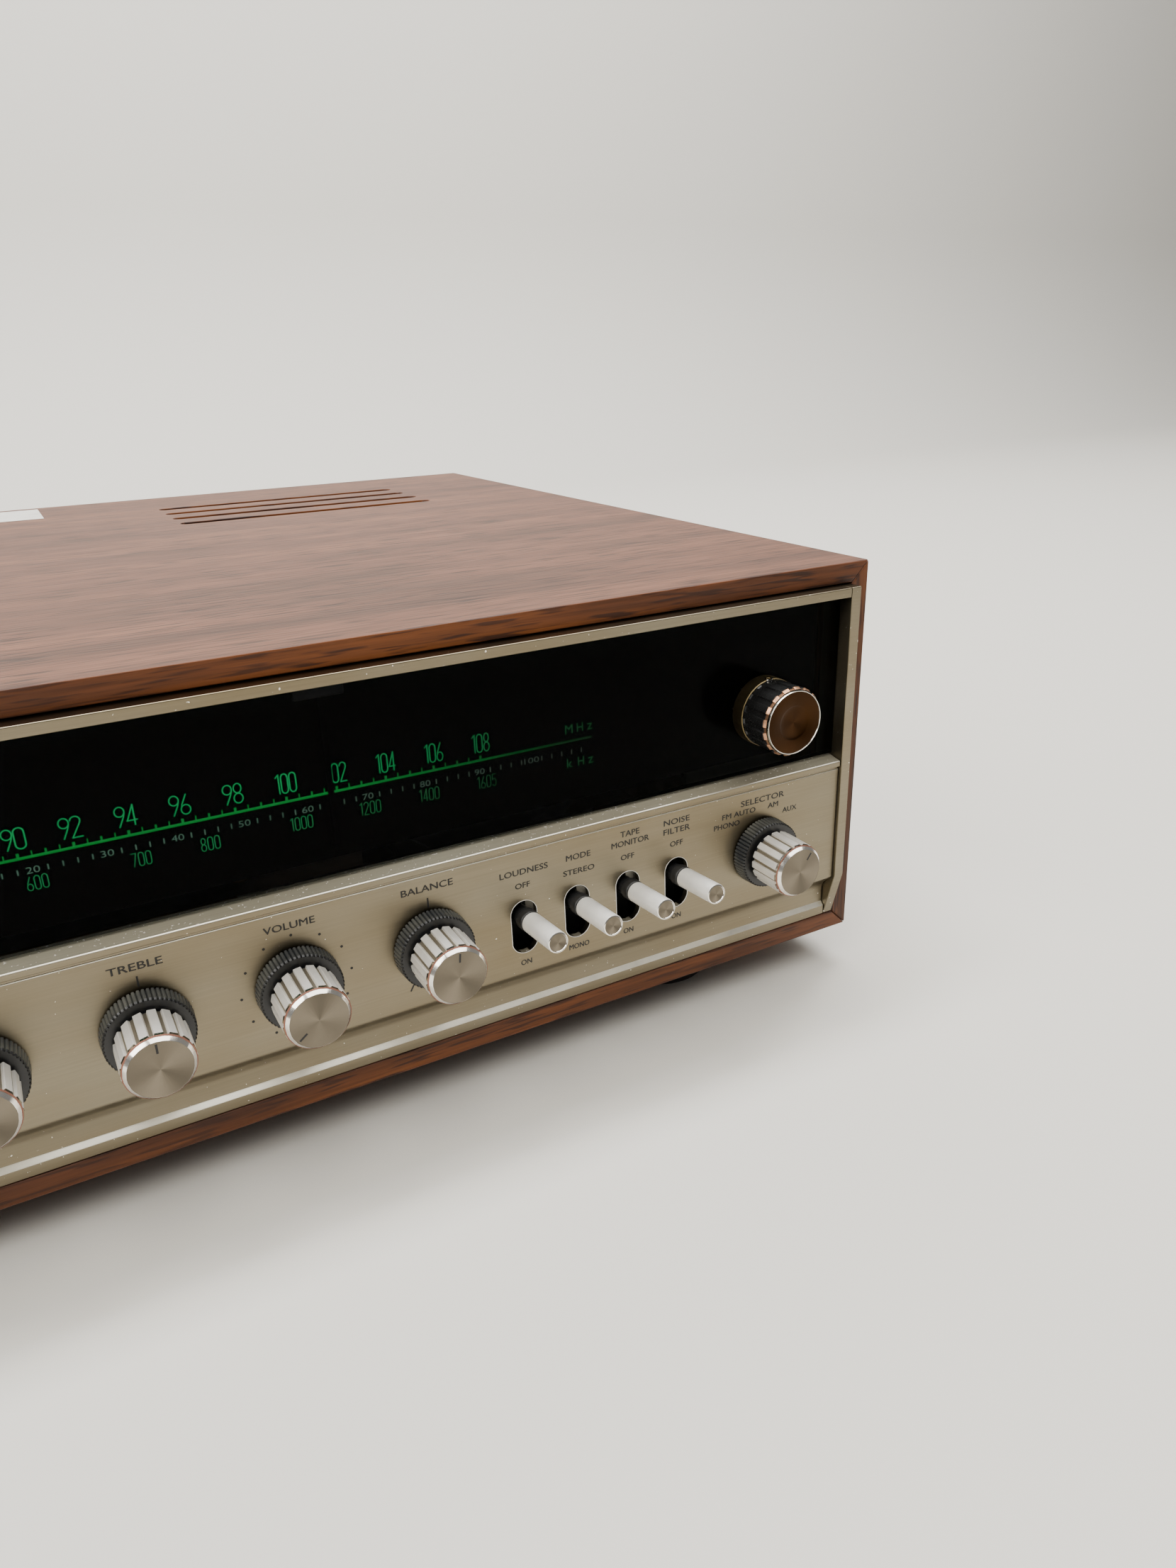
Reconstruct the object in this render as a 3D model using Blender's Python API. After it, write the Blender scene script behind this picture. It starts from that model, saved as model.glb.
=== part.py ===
"""Stereo receiver in a mitred wood sleeve, built as the real set comes apart on a bench.

Every length below is in millimetres. The helper at() turns a place on the set into
metres: x from the middle, y back from the front edges of the wood, z up from the floor.
The origin is the middle of the bottom of the whole set's box.
"""

import math

import bmesh
import bpy
from mathutils import Matrix, Vector

MM = 0.001
GAP = 0.3

# Wood sleeve: four mitred boards on round feet.
WIDTH = 430.0
HEIGHT = 120.0
DEPTH = 310.0
BOARD = 6.0
FOOT_HEIGHT = 13.0
FOOT_RADIUS = 17.0
FOOT_INSET_X = 54.0
FOOT_INSET_Y = 30.0
TOP = FOOT_HEIGHT + HEIGHT
INNER_X = WIDTH / 2 - BOARD
INNER_LOW = FOOT_HEIGHT + BOARD
INNER_HIGH = TOP - BOARD
VENT_LENGTH = 103.0
VENT_WIDTH = 6.0
VENT_MIDDLE_X = 112.0
VENT_FIRST_Y = 215.5
VENT_PITCH = 16.5
VENT_COUNT = 4

# Metal front: two end caps, a top rail, the dial window and the control panel.
CAP_WIDTH = 3.4
CAP_FRONT = -4.4
CAP_BEND = 34.6
TRIM_BACK = 8.0
RAIL_FRONT = -4.6
RAIL_HEIGHT = 2.8
FRONT_HALF = INNER_X - GAP - CAP_WIDTH - GAP
GLASS_THICKNESS = 3.0
GLASS_LOW = 75.2
GLASS_HIGH = INNER_HIGH - GAP - RAIL_HEIGHT - GAP
PANEL_FRONT = -3.2
PANEL_SHEET = 2.0

# The panel's section in (y, z) points, from the dial ledge down to the lip and up behind.
PANEL_LEDGE = [(-3.6, 73.5), (-3.9, 73.1), (-3.9, 71.8)]
PANEL_GROOVE = [(-3.0, 71.8), (-3.0, 70.9), (-3.6, 70.7)]
PANEL_FACE = [(PANEL_FRONT, 70.4), (PANEL_FRONT, 34.0)]
PANEL_HOLLOW = [(-0.5, 31.6), (0.4, 30.2), (0.9, 28.6), (1.0, 26.8)]
PANEL_LIP = [(1.0, 23.4), (0.1, 22.2), (0.1, INNER_LOW + GAP)]
PANEL_LIP_BACK = [(2.1, INNER_LOW + GAP), (2.1, 21.6), (3.0, 23.0), (3.0, 28.4), (1.6, 31.6)]
PANEL_BACK = PANEL_FRONT + PANEL_SHEET
PANEL_BEHIND = [(PANEL_BACK, 34.6), (PANEL_BACK, 69.6), (GLASS_THICKNESS, 71.8)]
THROUGH_FRONT = -12.0
THROUGH_BACK = 12.0

# Controls on the panel.
KNOB_Z = 51.0
KNOBS = {
    "speakers": -176.4,
    "bass": -33.8,
    "treble": 1.0,
    "volume": 35.8,
    "balance": 70.6,
    "selector": 176.4,
}
KNOB_FACE = -21.5
CAP_RADIUS = 7.9
CAP_BACK = -9.3
SKIRT_RADIUS = 10.2
SKIRT_BACK = -3.6
SKIRT_FACE = -8.3
SKIRT_RECESS_RADIUS = 7.0
CORE_RADIUS = 5.8
CAP_THICKNESS = 2.2
CORE_END = KNOB_FACE + 2.5
BORE_END = KNOB_FACE + 4.5
SHAFT_START = KNOB_FACE + 4.8
SHAFT_RADIUS = 3.0
SHAFT_END = 20.0
SHAFT_HOLE_RADIUS = 4.2

PHONES_X = -105.0
JACK_FRONT = -5.4
JACK_BORE = 3.3
JACK_FLANGE_RADIUS = 6.6
JACK_THREAD_RADIUS = 4.8
JACK_BODY_RADIUS = 6.8
JACK_BODY_START = 6.0
JACK_END = 34.0

LEVER_Z = 48.3
LEVERS = {"loudness": 97.1, "mode": 113.3, "tape_monitor": 129.6, "noise_filter": 145.9}
LEVER_PIVOT_Y = 29.6
LEVER_TILT = 5.3
LEVER_LENGTH = 52.9
LEVER_RADIUS = 2.9
LEVER_HANDLE = 15.3
CHAMFER = 0.4
SLEEVE_BORE = 1.9
SLEEVE_WEB = 4.0
STEM_RADIUS = 1.6
NECK_RADIUS = 3.0
NECK_END = -27.0
SHANK_RADIUS = 2.2
SHANK_START = -24.0
HUB_RADIUS = 4.2
HUB_HALF = 3.0
PIVOT_RADIUS = 1.5
SLOT_WIDTH = 7.8
SLOT_HEIGHT = 15.9

# Tuning: knob, spindle with flywheel, string drum, variable capacitor, pointer.
TUNING_X = 176.6
TUNING_Z = 94.6
TUNING_FACE = -16.0
TUNING_RADIUS = 10.0
TUNING_GRIP_RADIUS = 9.2
COLLAR_BACK = -0.4
COLLAR_FRONT = -5.0
FLYWHEEL_RADIUS = 16.0
FLYWHEEL_START = 14.0
FLYWHEEL_END = 22.0
SPINDLE_END = 48.0
DRUM_X = 105.0
DRUM_Z = 84.0
DRUM_RADIUS = 37.5
DRUM_DISH_RADIUS = 32.5
DRUM_HUB_RADIUS = 6.0
DRUM_Y = 40.0
DRUM_GROOVE_START = DRUM_Y + 1.5
DRUM_GROOVE_END = DRUM_Y + 3.0
DRUM_WEB_START = DRUM_Y + 2.0
DRUM_BACK = DRUM_Y + 4.5
DRUM_SHAFT_END = DRUM_Y + 20.0
CAPACITOR_LOW = (80.0, 52.0, 60.0)
CAPACITOR_HIGH = (130.0, 104.0, 108.0)
CAPACITOR_FOOT_LOW = (84.0, 56.0, 22.8)
CAPACITOR_FOOT_HIGH = (126.0, 100.0, 61.0)

# Dial plate, pointer on its carriage, signal meter.
PLATE_Y = 8.0
PLATE_THICKNESS = 1.2
PLATE_HALF = 203.0
PLATE_LOW = 76.5
PLATE_HIGH = 122.5
METER_WINDOW = (-136.0, 82.0, -76.0, 116.0)
POINTER_X = 51.5
POINTER_HALF = 0.8
POINTER_Y = (4.6, 5.8)
POINTER_Z = (80.0, 121.0)
CARRIAGE_HALF = 6.0
CARRIAGE_Y = (4.2, 6.8)
CARRIAGE_Z = (119.0, 123.0)
METER_X = -106.0
METER_Z = 88.0
METER_LOW = (-137.0, 9.5, 80.0)
METER_HIGH = (-75.0, 30.0, 118.0)
METER_WELL_LOW = (-135.0, 2.0, 83.0)
METER_WELL_HIGH = (-77.0, 22.0, 115.0)
NEEDLE_REST = -40.0
NEEDLE_Y = (18.0, 18.8)
NEEDLE_HALF = 0.4
NEEDLE_START = 3.0
NEEDLE_REACH = 24.0
NEEDLE_AXLE_Y = 18.5
NEEDLE_HUB = [(1.8, -1.0), (4.0, -1.0), (4.0, 1.0), (1.8, 1.0)]

# Inside and behind.
BRACKET_Y = 10.0
BRACKET_BACK = BRACKET_Y + 1.5
BRACKET_LEFT = -192.0
BRACKET_RIGHT = 193.0
BRACKET_LOW = 22.8
BRACKET_HIGH = 68.0
CAN_RADIUS = 10.0
CAN_END = 26.0
FORK_INNER = 4.4
FORK_OUTER = 5.6
FORK_END = 36.0
FORK_LOW = 38.0
FORK_HIGH = 59.0
BEARING_LEFT = 158.0
BEARING_HIGH = 112.0

TRAY_HALF = 203.0
TRAY_LOW = 20.5
TRAY_HIGH = 42.0
TRAY_SHEET = 1.2

TRANSFORMER_LOW = (-176.0, 206.0, 24.0)
TRANSFORMER_HIGH = (-104.0, 262.0, 86.0)
COILS = (
    ((-163.0, 195.0, 33.0), (-117.0, 210.0, 77.0)),
    ((-163.0, 258.0, 33.0), (-117.0, 273.0, 77.0)),
)
TRANSFORMER_FEET = ((-184.0, 212.0, 22.2), (-96.0, 256.0, 25.0))

SINK_LEFT = 64.0
SINK_RIGHT = 160.0
SINK_Y = 240.0
SINK_LOW = 24.0
SINK_HIGH = 108.0
SINK_BASE_HALF = 2.5
FIN_COUNT = 9
FIN_HALF = 1.2
FIN_REACH = 24.0
FIN_INSET = 4.0
FIN_TRIM = 2.0

BOARD_LOW = (-86.0, 118.0, 32.0)
BOARD_HIGH = (52.0, 284.0, 33.6)
SPACERS = [(x, y) for x in (-80.0, 46.0) for y in (124.0, 278.0)]
SPACER_RADIUS = 3.5
SPACER_LOW = 22.0
SEAT = 33.0
CAPACITORS = (
    (-50.0, 240.0, 16.0, 78.0),
    (-12.0, 240.0, 16.0, 78.0),
    (30.0, 150.0, 8.0, 52.0),
    (8.0, 150.0, 8.0, 52.0),
    (-62.0, 150.0, 6.0, 46.0),
)
COIL_CANS = ((-45.0, 136.0, -35.0, 146.0), (-25.0, 136.0, -15.0, 146.0))
COIL_CAN_HIGH = 47.0

REAR_Y = 303.0
REAR_BACK = REAR_Y + 1.5
REAR_HALF = 208.4
REAR_LOW = 19.6
REAR_HIGH = 126.4
MOUNT_Y = REAR_BACK + GAP
ROD_PIVOT_X = 20.0
ROD_Y = 317.0
ROD_Z = 110.0
ROD_RADIUS = 6.0
ROD_END = 168.0
ROD_HUB_Z = (102.0, 117.0)
ROD_ARM_Z = (104.0, 116.0)
ROD_ARM_X = (3.0, 14.0)
ROD_ARM_HALF = 3.0
ROD_PIN_RADIUS = 2.0
ROD_PIN_Z = (100.0, 118.0)
ROD_EAR_HALF = 8.0
ROD_EAR_Z = (99.0, 101.0)

PHONO_HALF = 64.0
PHONO_Z = (38.0, 72.0)
PHONO_SHEET = 2.0
PHONO_FIRST_X = -50.0
PHONO_PITCH = 25.0
PHONO_COLUMNS = 5
PHONO_ROWS = (46.5, 63.5)
PHONO_RADIUS = 4.2
PHONO_REACH = 10.0
PHONO_BORE = 1.7

TERMINAL_LOW_CORNER = (84.0, 38.0)
TERMINAL_HIGH_CORNER = (196.0, 60.0)
TERMINAL_THICKNESS = 7.0
TERMINAL_FIRST_X = 93.5
TERMINAL_PITCH = 13.4
TERMINAL_COUNT = 8
TERMINAL_Z = 49.0
TERMINAL_SCREW_RADIUS = 3.6
TERMINAL_SCREW_END = 9.5

OUTLET_LOW_CORNER = (-150.0, 62.0)
OUTLET_HIGH_CORNER = (-108.0, 88.0)
OUTLET_THICKNESS = 4.0
OUTLET_BLADES = (-136.0, -122.0)
BLADE_HALF = 0.9
BLADE_Z = (70.0, 80.0)

CORD_X = -178.0
CORD_Z = 38.0
CORD_BORE = 3.4
CORD_NECK_RADIUS = 5.6
CORD_HOLE_RADIUS = 6.0
CORD_FLANGE_RADIUS = 8.5
CORD_TIP_RADIUS = 7.2
CORD_REACH = 7.0

# The set reaches from the raised levers to the swinging antenna rod.
TILT = math.radians(LEVER_TILT)
TIP_RADIUS = LEVER_RADIUS - CHAMFER
FRONT_REACH = LEVER_LENGTH * math.cos(TILT) + TIP_RADIUS * math.sin(TILT) - LEVER_PIVOT_Y
BACK_REACH = ROD_Y + ROD_RADIUS
FRONT_Y = -(BACK_REACH - FRONT_REACH) / 2

SIDES = 24
ARC = 8


def clear_scene():
    for leftover in list(bpy.data.objects):
        bpy.data.objects.remove(leftover)


def at(x, y, z):
    return Vector((x, y + FRONT_Y, z)) * MM


def finish(name, colour, roughness, metallic=0.0):
    material = bpy.data.materials.new(name)
    material.use_nodes = True
    shader = material.node_tree.nodes["Principled BSDF"]
    shader.inputs["Base Color"].default_value = (*colour, 1.0)
    shader.inputs["Roughness"].default_value = roughness
    shader.inputs["Metallic"].default_value = metallic
    material.diffuse_color = (*colour, 1.0)
    return material


class Shape:
    """Gathers primitives, given in millimetres, into one mesh around an origin."""

    def __init__(self, origin=(0, 0, 0)):
        self.origin = Vector(origin)
        self.bm = bmesh.new()

    def box(self, low, high):
        low = Vector(low) - self.origin
        high = Vector(high) - self.origin
        size = Matrix.Diagonal((*((high - low) * MM), 1))
        place = Matrix.Translation((low + high) / 2 * MM)
        bmesh.ops.create_cube(self.bm, size=1, matrix=place @ size)
        return self

    def prism(self, outline, axis, start, end):
        """A flat outline pushed along X, Y or Z from start to end."""
        first, second = [n for n in range(3) if n != axis]
        corners = []
        for a, b in outline:
            point = Vector((0, 0, 0))
            point[axis], point[first], point[second] = start, a, b
            corners.append(self.bm.verts.new((point - self.origin) * MM))
        face = self.bm.faces.new(corners)
        pushed = bmesh.ops.extrude_face_region(self.bm, geom=[face])["geom"]
        moved = [item for item in pushed if isinstance(item, bmesh.types.BMVert)]
        push = Vector((0, 0, 0))
        push[axis] = (end - start) * MM
        bmesh.ops.translate(self.bm, verts=moved, vec=push)
        return self

    def cylinder(self, centre, axis, radius, start, end, sides=SIDES):
        """A round bar; centre holds the two coordinates across its axis."""
        ring = [2 * math.pi * n / sides for n in range(sides)]
        outline = [
            (centre[0] + radius * math.cos(t), centre[1] + radius * math.sin(t))
            for t in ring
        ]
        return self.prism(outline, axis, start, end)

    def turned(self, outline, centre=(0, 0, 0), sides=SIDES):
        """An outline of (radius, y) points swept round a line along Y through centre."""
        middle = (Vector(centre) - self.origin) * MM
        points = [
            self.bm.verts.new(middle + Vector((radius, y, 0)) * MM) for radius, y in outline
        ]
        edges = [self.bm.edges.new(pair) for pair in zip(points, points[1:])]
        if outline[0][0] > 0:
            edges.append(self.bm.edges.new((points[-1], points[0])))
        bmesh.ops.spin(
            self.bm,
            geom=points + edges,
            cent=middle,
            axis=(0, 1, 0),
            dvec=(0, 0, 0),
            angle=2 * math.pi,
            steps=sides,
        )
        bmesh.ops.remove_doubles(self.bm, verts=self.bm.verts, dist=1e-6)
        return self

    def make(self, name, material=None, smooth=False, parent=None):
        """Writes the mesh as an object whose origin is the shape's own origin."""
        bmesh.ops.recalc_face_normals(self.bm, faces=self.bm.faces)
        mesh = bpy.data.meshes.new(name)
        self.bm.to_mesh(mesh)
        self.bm.free()
        if smooth:
            mesh.shade_smooth()
            mesh.set_sharp_from_angle(angle=math.radians(40))
        made = bpy.data.objects.new(name, mesh)
        bpy.context.scene.collection.objects.link(made)
        if material:
            mesh.materials.append(material)
        made.parent = parent
        if parent is None:
            made.location = at(*self.origin)
        return made


def combine(target, shape, operation):
    """A Boolean of the target with a helper that never renders."""
    helper = shape.make(f"{target.name}_{operation.lower()}_{len(target.modifiers)}")
    helper.parent = target.parent
    if target.parent:
        helper.location = target.location
    helper.hide_render = True
    helper.display_type = "WIRE"
    step = target.modifiers.new(operation.title(), "BOOLEAN")
    step.operation = operation
    step.solver = "EXACT"
    step.object = helper
    return target


def fuse(target, shape):
    return combine(target, shape, "UNION")


def cut(target, shape):
    return combine(target, shape, "DIFFERENCE")


def obround(middle, long_half, radius, upright):
    """Outline of a slot with round ends; long_half is half of its whole length."""
    reach = long_half - radius
    outline = []
    for end in (1, -1):
        for n in range(ARC + 1):
            turn = math.pi * (n / ARC - 0.5) + (0 if end > 0 else math.pi)
            along = end * reach + radius * math.cos(turn)
            across = radius * math.sin(turn)
            outline.append((across, along) if upright else (along, across))
    return [(middle[0] + a, middle[1] + b) for a, b in outline]


def make_cabinet(walnut):
    """Four boards meet in mitres, so each board is a prism with 45 degree ends."""
    half = WIDTH / 2
    step = GAP / 2
    inner = INNER_X
    top = [
        (-half + step, TOP),
        (half - step, TOP),
        (inner - step, INNER_HIGH),
        (-inner + step, INNER_HIGH),
    ]
    side = [
        (half, TOP - step),
        (half, FOOT_HEIGHT + step),
        (inner, INNER_LOW + step),
        (inner, INNER_HIGH - step),
    ]
    middle_z = FOOT_HEIGHT + HEIGHT / 2
    board = Shape().prism(top, 1, 0, DEPTH).make("cabinet_top", walnut)
    slots = Shape()
    for direction in (-1, 1):
        for n in range(VENT_COUNT):
            middle = (direction * VENT_MIDDLE_X, VENT_FIRST_Y + n * VENT_PITCH)
            outline = obround(middle, VENT_LENGTH / 2, VENT_WIDTH / 2, upright=False)
            slots.prism(outline, 2, INNER_HIGH - BOARD, TOP + BOARD)
    cut(board, slots)
    bottom = [(x, 2 * middle_z - z) for x, z in top]
    Shape().prism(bottom, 1, 0, DEPTH).make("cabinet_bottom", walnut)
    Shape().prism(side, 1, 0, DEPTH).make("cabinet_right_side", walnut)
    mirrored = [(-x, z) for x, z in side]
    Shape().prism(mirrored, 1, 0, DEPTH).make("cabinet_left_side", walnut)


def make_feet(rubber):
    for depth_name, y in (("front", FOOT_INSET_Y), ("rear", DEPTH - FOOT_INSET_Y)):
        for side_name, sign in (("left", -1), ("right", 1)):
            x = sign * (WIDTH / 2 - FOOT_INSET_X)
            foot = Shape().cylinder((x, y), 2, FOOT_RADIUS, 0, FOOT_HEIGHT - GAP)
            foot.make(f"foot_{depth_name}_{side_name}", rubber, smooth=True)


def make_metal_trim(champagne):
    cap = [
        (CAP_FRONT, INNER_HIGH - GAP),
        (CAP_FRONT, CAP_BEND),
        (0, INNER_LOW + GAP),
        (TRIM_BACK, INNER_LOW + GAP),
        (TRIM_BACK, INNER_HIGH - GAP),
    ]
    outer = INNER_X - GAP
    Shape().prism(cap, 0, outer - CAP_WIDTH, outer).make("right_end_cap", champagne)
    Shape().prism(cap, 0, CAP_WIDTH - outer, -outer).make("left_end_cap", champagne)
    low = (-FRONT_HALF, RAIL_FRONT, INNER_HIGH - GAP - RAIL_HEIGHT)
    high = (FRONT_HALF, TRIM_BACK, INNER_HIGH - GAP)
    Shape().box(low, high).make("top_rail", champagne)


def make_control_panel(champagne):
    """One extrusion: dial ledge, groove, main face, hollow curve and lower lip."""
    ledge = [(GLASS_THICKNESS, GLASS_LOW - GAP)] + PANEL_LEDGE
    face = ledge + PANEL_GROOVE + PANEL_FACE + PANEL_HOLLOW + PANEL_LIP
    rear = PANEL_LIP_BACK + PANEL_BEHIND
    panel = Shape().prism(face + rear, 0, -FRONT_HALF, FRONT_HALF)
    panel = panel.make("control_panel", champagne)
    holes = Shape()
    for x in KNOBS.values():
        centre = (x, KNOB_Z)
        holes.cylinder(centre, 1, SHAFT_HOLE_RADIUS, THROUGH_FRONT, THROUGH_BACK, sides=16)
    bush = JACK_THREAD_RADIUS + GAP
    holes.cylinder((PHONES_X, KNOB_Z), 1, bush, THROUGH_FRONT, THROUGH_BACK)
    for x in LEVERS.values():
        outline = obround((x, LEVER_Z), SLOT_HEIGHT / 2, SLOT_WIDTH / 2, upright=True)
        holes.prism(outline, 1, THROUGH_FRONT, THROUGH_BACK)
    cut(panel, holes)


def make_dial(glass, black, painted, red):
    low = (-FRONT_HALF, 0, GLASS_LOW)
    high = (FRONT_HALF, GLASS_THICKNESS, GLASS_HIGH)
    window = Shape().box(low, high).make("dial_glass", glass)
    centre = (TUNING_X, TUNING_Z)
    hole = SHAFT_HOLE_RADIUS
    cut(window, Shape().cylinder(centre, 1, hole, -GLASS_THICKNESS, PLATE_Y - GAP, sides=16))

    plate_back = PLATE_Y + PLATE_THICKNESS
    low = (-PLATE_HALF, PLATE_Y, PLATE_LOW)
    plate = Shape().box(low, (PLATE_HALF, plate_back, PLATE_HIGH)).make("dial_plate", black)
    openings = Shape().cylinder(centre, 1, hole, PLATE_Y - 1, plate_back + 1, sides=16)
    left, bottom, right, top = METER_WINDOW
    openings.box((left, PLATE_Y - 1, bottom), (right, plate_back + 1, top))
    cut(plate, openings)

    x = POINTER_X
    low = (x - POINTER_HALF, POINTER_Y[0], POINTER_Z[0])
    high = (x + POINTER_HALF, POINTER_Y[1], POINTER_Z[1])
    blade = Shape().box(low, high).make("dial_pointer", black)
    low = (x - CARRIAGE_HALF, CARRIAGE_Y[0], CARRIAGE_Z[0])
    high = (x + CARRIAGE_HALF, CARRIAGE_Y[1], CARRIAGE_Z[1])
    fuse(blade, Shape().box(low, high))

    # The meter's tub stands behind the window in the plate, with its needle inside.
    tub = Shape().box(METER_LOW, METER_HIGH).make("signal_meter", painted)
    cut(tub, Shape().box(METER_WELL_LOW, METER_WELL_HIGH))
    centre = (METER_X, METER_Z)
    floor = METER_WELL_HIGH[1]
    fuse(tub, Shape().cylinder(centre, 1, 1.5, NEEDLE_Y[0] - 2, floor + 3, sides=12))
    axle = (METER_X, NEEDLE_AXLE_Y, METER_Z)
    lean = Matrix.Rotation(math.radians(NEEDLE_REST), 4, "Y")
    low = (METER_X - NEEDLE_HALF, NEEDLE_Y[0], METER_Z + NEEDLE_START)
    high = (METER_X + NEEDLE_HALF, NEEDLE_Y[1], METER_Z + NEEDLE_REACH)
    needle = Shape(axle).box(low, high).make("meter_needle", red)
    fuse(needle, Shape(axle).turned(NEEDLE_HUB, axle))
    for piece in (needle, needle.modifiers[0].object):
        piece.rotation_euler = lean.to_euler()


def make_tuning(black, bronze, steel, brass, aluminium):
    spindle = (TUNING_X, 0, TUNING_Z)
    bore = SHAFT_RADIUS + GAP
    grip_end = TUNING_FACE + 2.4
    bore_end = TUNING_FACE + 4.0
    body = [
        (bore, COLLAR_BACK),
        (TUNING_RADIUS, COLLAR_BACK),
        (TUNING_RADIUS, COLLAR_FRONT),
        (TUNING_GRIP_RADIUS, COLLAR_FRONT - 0.6),
        (TUNING_GRIP_RADIUS, grip_end),
        (0, grip_end),
        (0, bore_end),
        (bore, bore_end),
    ]
    Shape(spindle).turned(body, spindle).make("tuning_knob", black, smooth=True)
    disc = [
        (0, grip_end - GAP),
        (TUNING_RADIUS, grip_end - GAP),
        (TUNING_RADIUS - CHAMFER, TUNING_FACE),
        (0, TUNING_FACE),
    ]
    Shape(spindle).turned(disc, spindle).make("tuning_knob_cap", bronze, smooth=True)
    rod = [
        (0, bore_end + GAP),
        (SHAFT_RADIUS, bore_end + GAP),
        (SHAFT_RADIUS, FLYWHEEL_START),
        (FLYWHEEL_RADIUS - 1, FLYWHEEL_START),
        (FLYWHEEL_RADIUS, FLYWHEEL_START + 1),
        (FLYWHEEL_RADIUS, FLYWHEEL_END - 1),
        (FLYWHEEL_RADIUS - 1, FLYWHEEL_END),
        (SHAFT_RADIUS, FLYWHEEL_END),
        (SHAFT_RADIUS, SPINDLE_END),
        (0, SPINDLE_END),
    ]
    Shape(spindle).turned(rod, spindle).make("tuning_shaft", brass, smooth=True)

    hub = (DRUM_X, 0, DRUM_Z)
    drum = [
        (0, DRUM_Y),
        (DRUM_HUB_RADIUS, DRUM_Y),
        (DRUM_HUB_RADIUS, DRUM_WEB_START),
        (DRUM_DISH_RADIUS, DRUM_WEB_START),
        (DRUM_DISH_RADIUS, DRUM_Y),
        (DRUM_RADIUS + 1, DRUM_Y),
        (DRUM_RADIUS, DRUM_GROOVE_START),
        (DRUM_RADIUS, DRUM_GROOVE_END),
        (DRUM_RADIUS + 1, DRUM_BACK),
        (DRUM_DISH_RADIUS, DRUM_BACK),
        (SHAFT_RADIUS, DRUM_BACK),
        (SHAFT_RADIUS, DRUM_SHAFT_END),
        (0, DRUM_SHAFT_END),
    ]
    Shape(hub).turned(drum, hub).make("tuning_drum", steel, smooth=True)
    frame = Shape().box(CAPACITOR_LOW, CAPACITOR_HIGH).make("tuning_capacitor", aluminium)
    fuse(frame, Shape().box(CAPACITOR_FOOT_LOW, CAPACITOR_FOOT_HIGH))
    centre = (DRUM_X, DRUM_Z)
    depth = (CAPACITOR_LOW[1] - 4, DRUM_SHAFT_END + 4)
    cut(frame, Shape().cylinder(centre, 1, SHAFT_RADIUS + GAP, *depth, sides=16))


def make_knobs(aluminium, black, steel):
    """Each knob is a fluted metal cap on a black skirt that grips a steel shaft."""
    bore = SHAFT_RADIUS + GAP
    skirt = [
        (bore, SKIRT_BACK),
        (SKIRT_RADIUS, SKIRT_BACK),
        (SKIRT_RADIUS - 0.3, SKIRT_FACE),
        (SKIRT_RECESS_RADIUS, SKIRT_FACE),
        (SKIRT_RECESS_RADIUS, CAP_BACK + GAP),
        (CORE_RADIUS, CAP_BACK + GAP),
        (CORE_RADIUS, CORE_END),
        (0, CORE_END),
        (0, BORE_END),
        (bore, BORE_END),
    ]
    cap = [
        (CORE_RADIUS + GAP, CAP_BACK),
        (CAP_RADIUS, CAP_BACK),
        (CAP_RADIUS, KNOB_FACE + 1.0),
        (CAP_RADIUS - 1.0, KNOB_FACE),
        (0, KNOB_FACE),
        (0, KNOB_FACE + CAP_THICKNESS),
        (CORE_RADIUS + GAP, KNOB_FACE + CAP_THICKNESS),
    ]
    shaft = [
        (0, SHAFT_START),
        (SHAFT_RADIUS, SHAFT_START),
        (SHAFT_RADIUS, SHAFT_END),
        (0, SHAFT_END),
    ]
    for name, x in KNOBS.items():
        centre = (x, 0, KNOB_Z)
        grip = Shape(centre).turned(skirt, centre, 20)
        grip.make(f"{name}_knob_skirt", black, smooth=True)
        Shape(centre).turned(cap, centre, 20).make(f"{name}_knob", aluminium, smooth=True)
        Shape(centre).turned(shaft, centre, 12).make(f"{name}_shaft", steel, smooth=True)


def make_levers(aluminium, black):
    """A lever turns on a pin behind the panel; its arm carries a metal sleeve."""
    pin_hole = PIVOT_RADIUS + GAP
    tip = -LEVER_LENGTH
    back = tip + LEVER_HANDLE
    sleeve = [
        (SLEEVE_BORE, back),
        (LEVER_RADIUS, back),
        (LEVER_RADIUS, tip + CHAMFER),
        (TIP_RADIUS, tip),
        (0, tip),
        (0, tip + SLEEVE_WEB),
        (SLEEVE_BORE, tip + SLEEVE_WEB),
    ]
    arm = [
        (0, tip + SLEEVE_WEB + GAP),
        (STEM_RADIUS, tip + SLEEVE_WEB + GAP),
        (STEM_RADIUS, back + GAP),
        (NECK_RADIUS, back + GAP),
        (NECK_RADIUS, NECK_END),
        (SHANK_RADIUS, SHANK_START),
        (SHANK_RADIUS, 0),
        (0, 0),
    ]
    for name, x in LEVERS.items():
        pivot = bpy.data.objects.new(f"{name}_pivot", None)
        bpy.context.scene.collection.objects.link(pivot)
        pivot.location = at(x, LEVER_PIVOT_Y, LEVER_Z)
        pivot.rotation_euler.x = -TILT
        handle = Shape().turned(sleeve, sides=20)
        handle.make(f"{name}_handle", aluminium, smooth=True, parent=pivot)
        rod = Shape().turned(arm, sides=16).make(f"{name}_arm", black, True, parent=pivot)
        fuse(rod, Shape().cylinder((0, 0), 0, HUB_RADIUS, -HUB_HALF, HUB_HALF, sides=16))
        reach = 2 * HUB_HALF
        cut(rod, Shape().cylinder((0, 0), 0, pin_hole, -reach, reach, sides=12))


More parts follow.
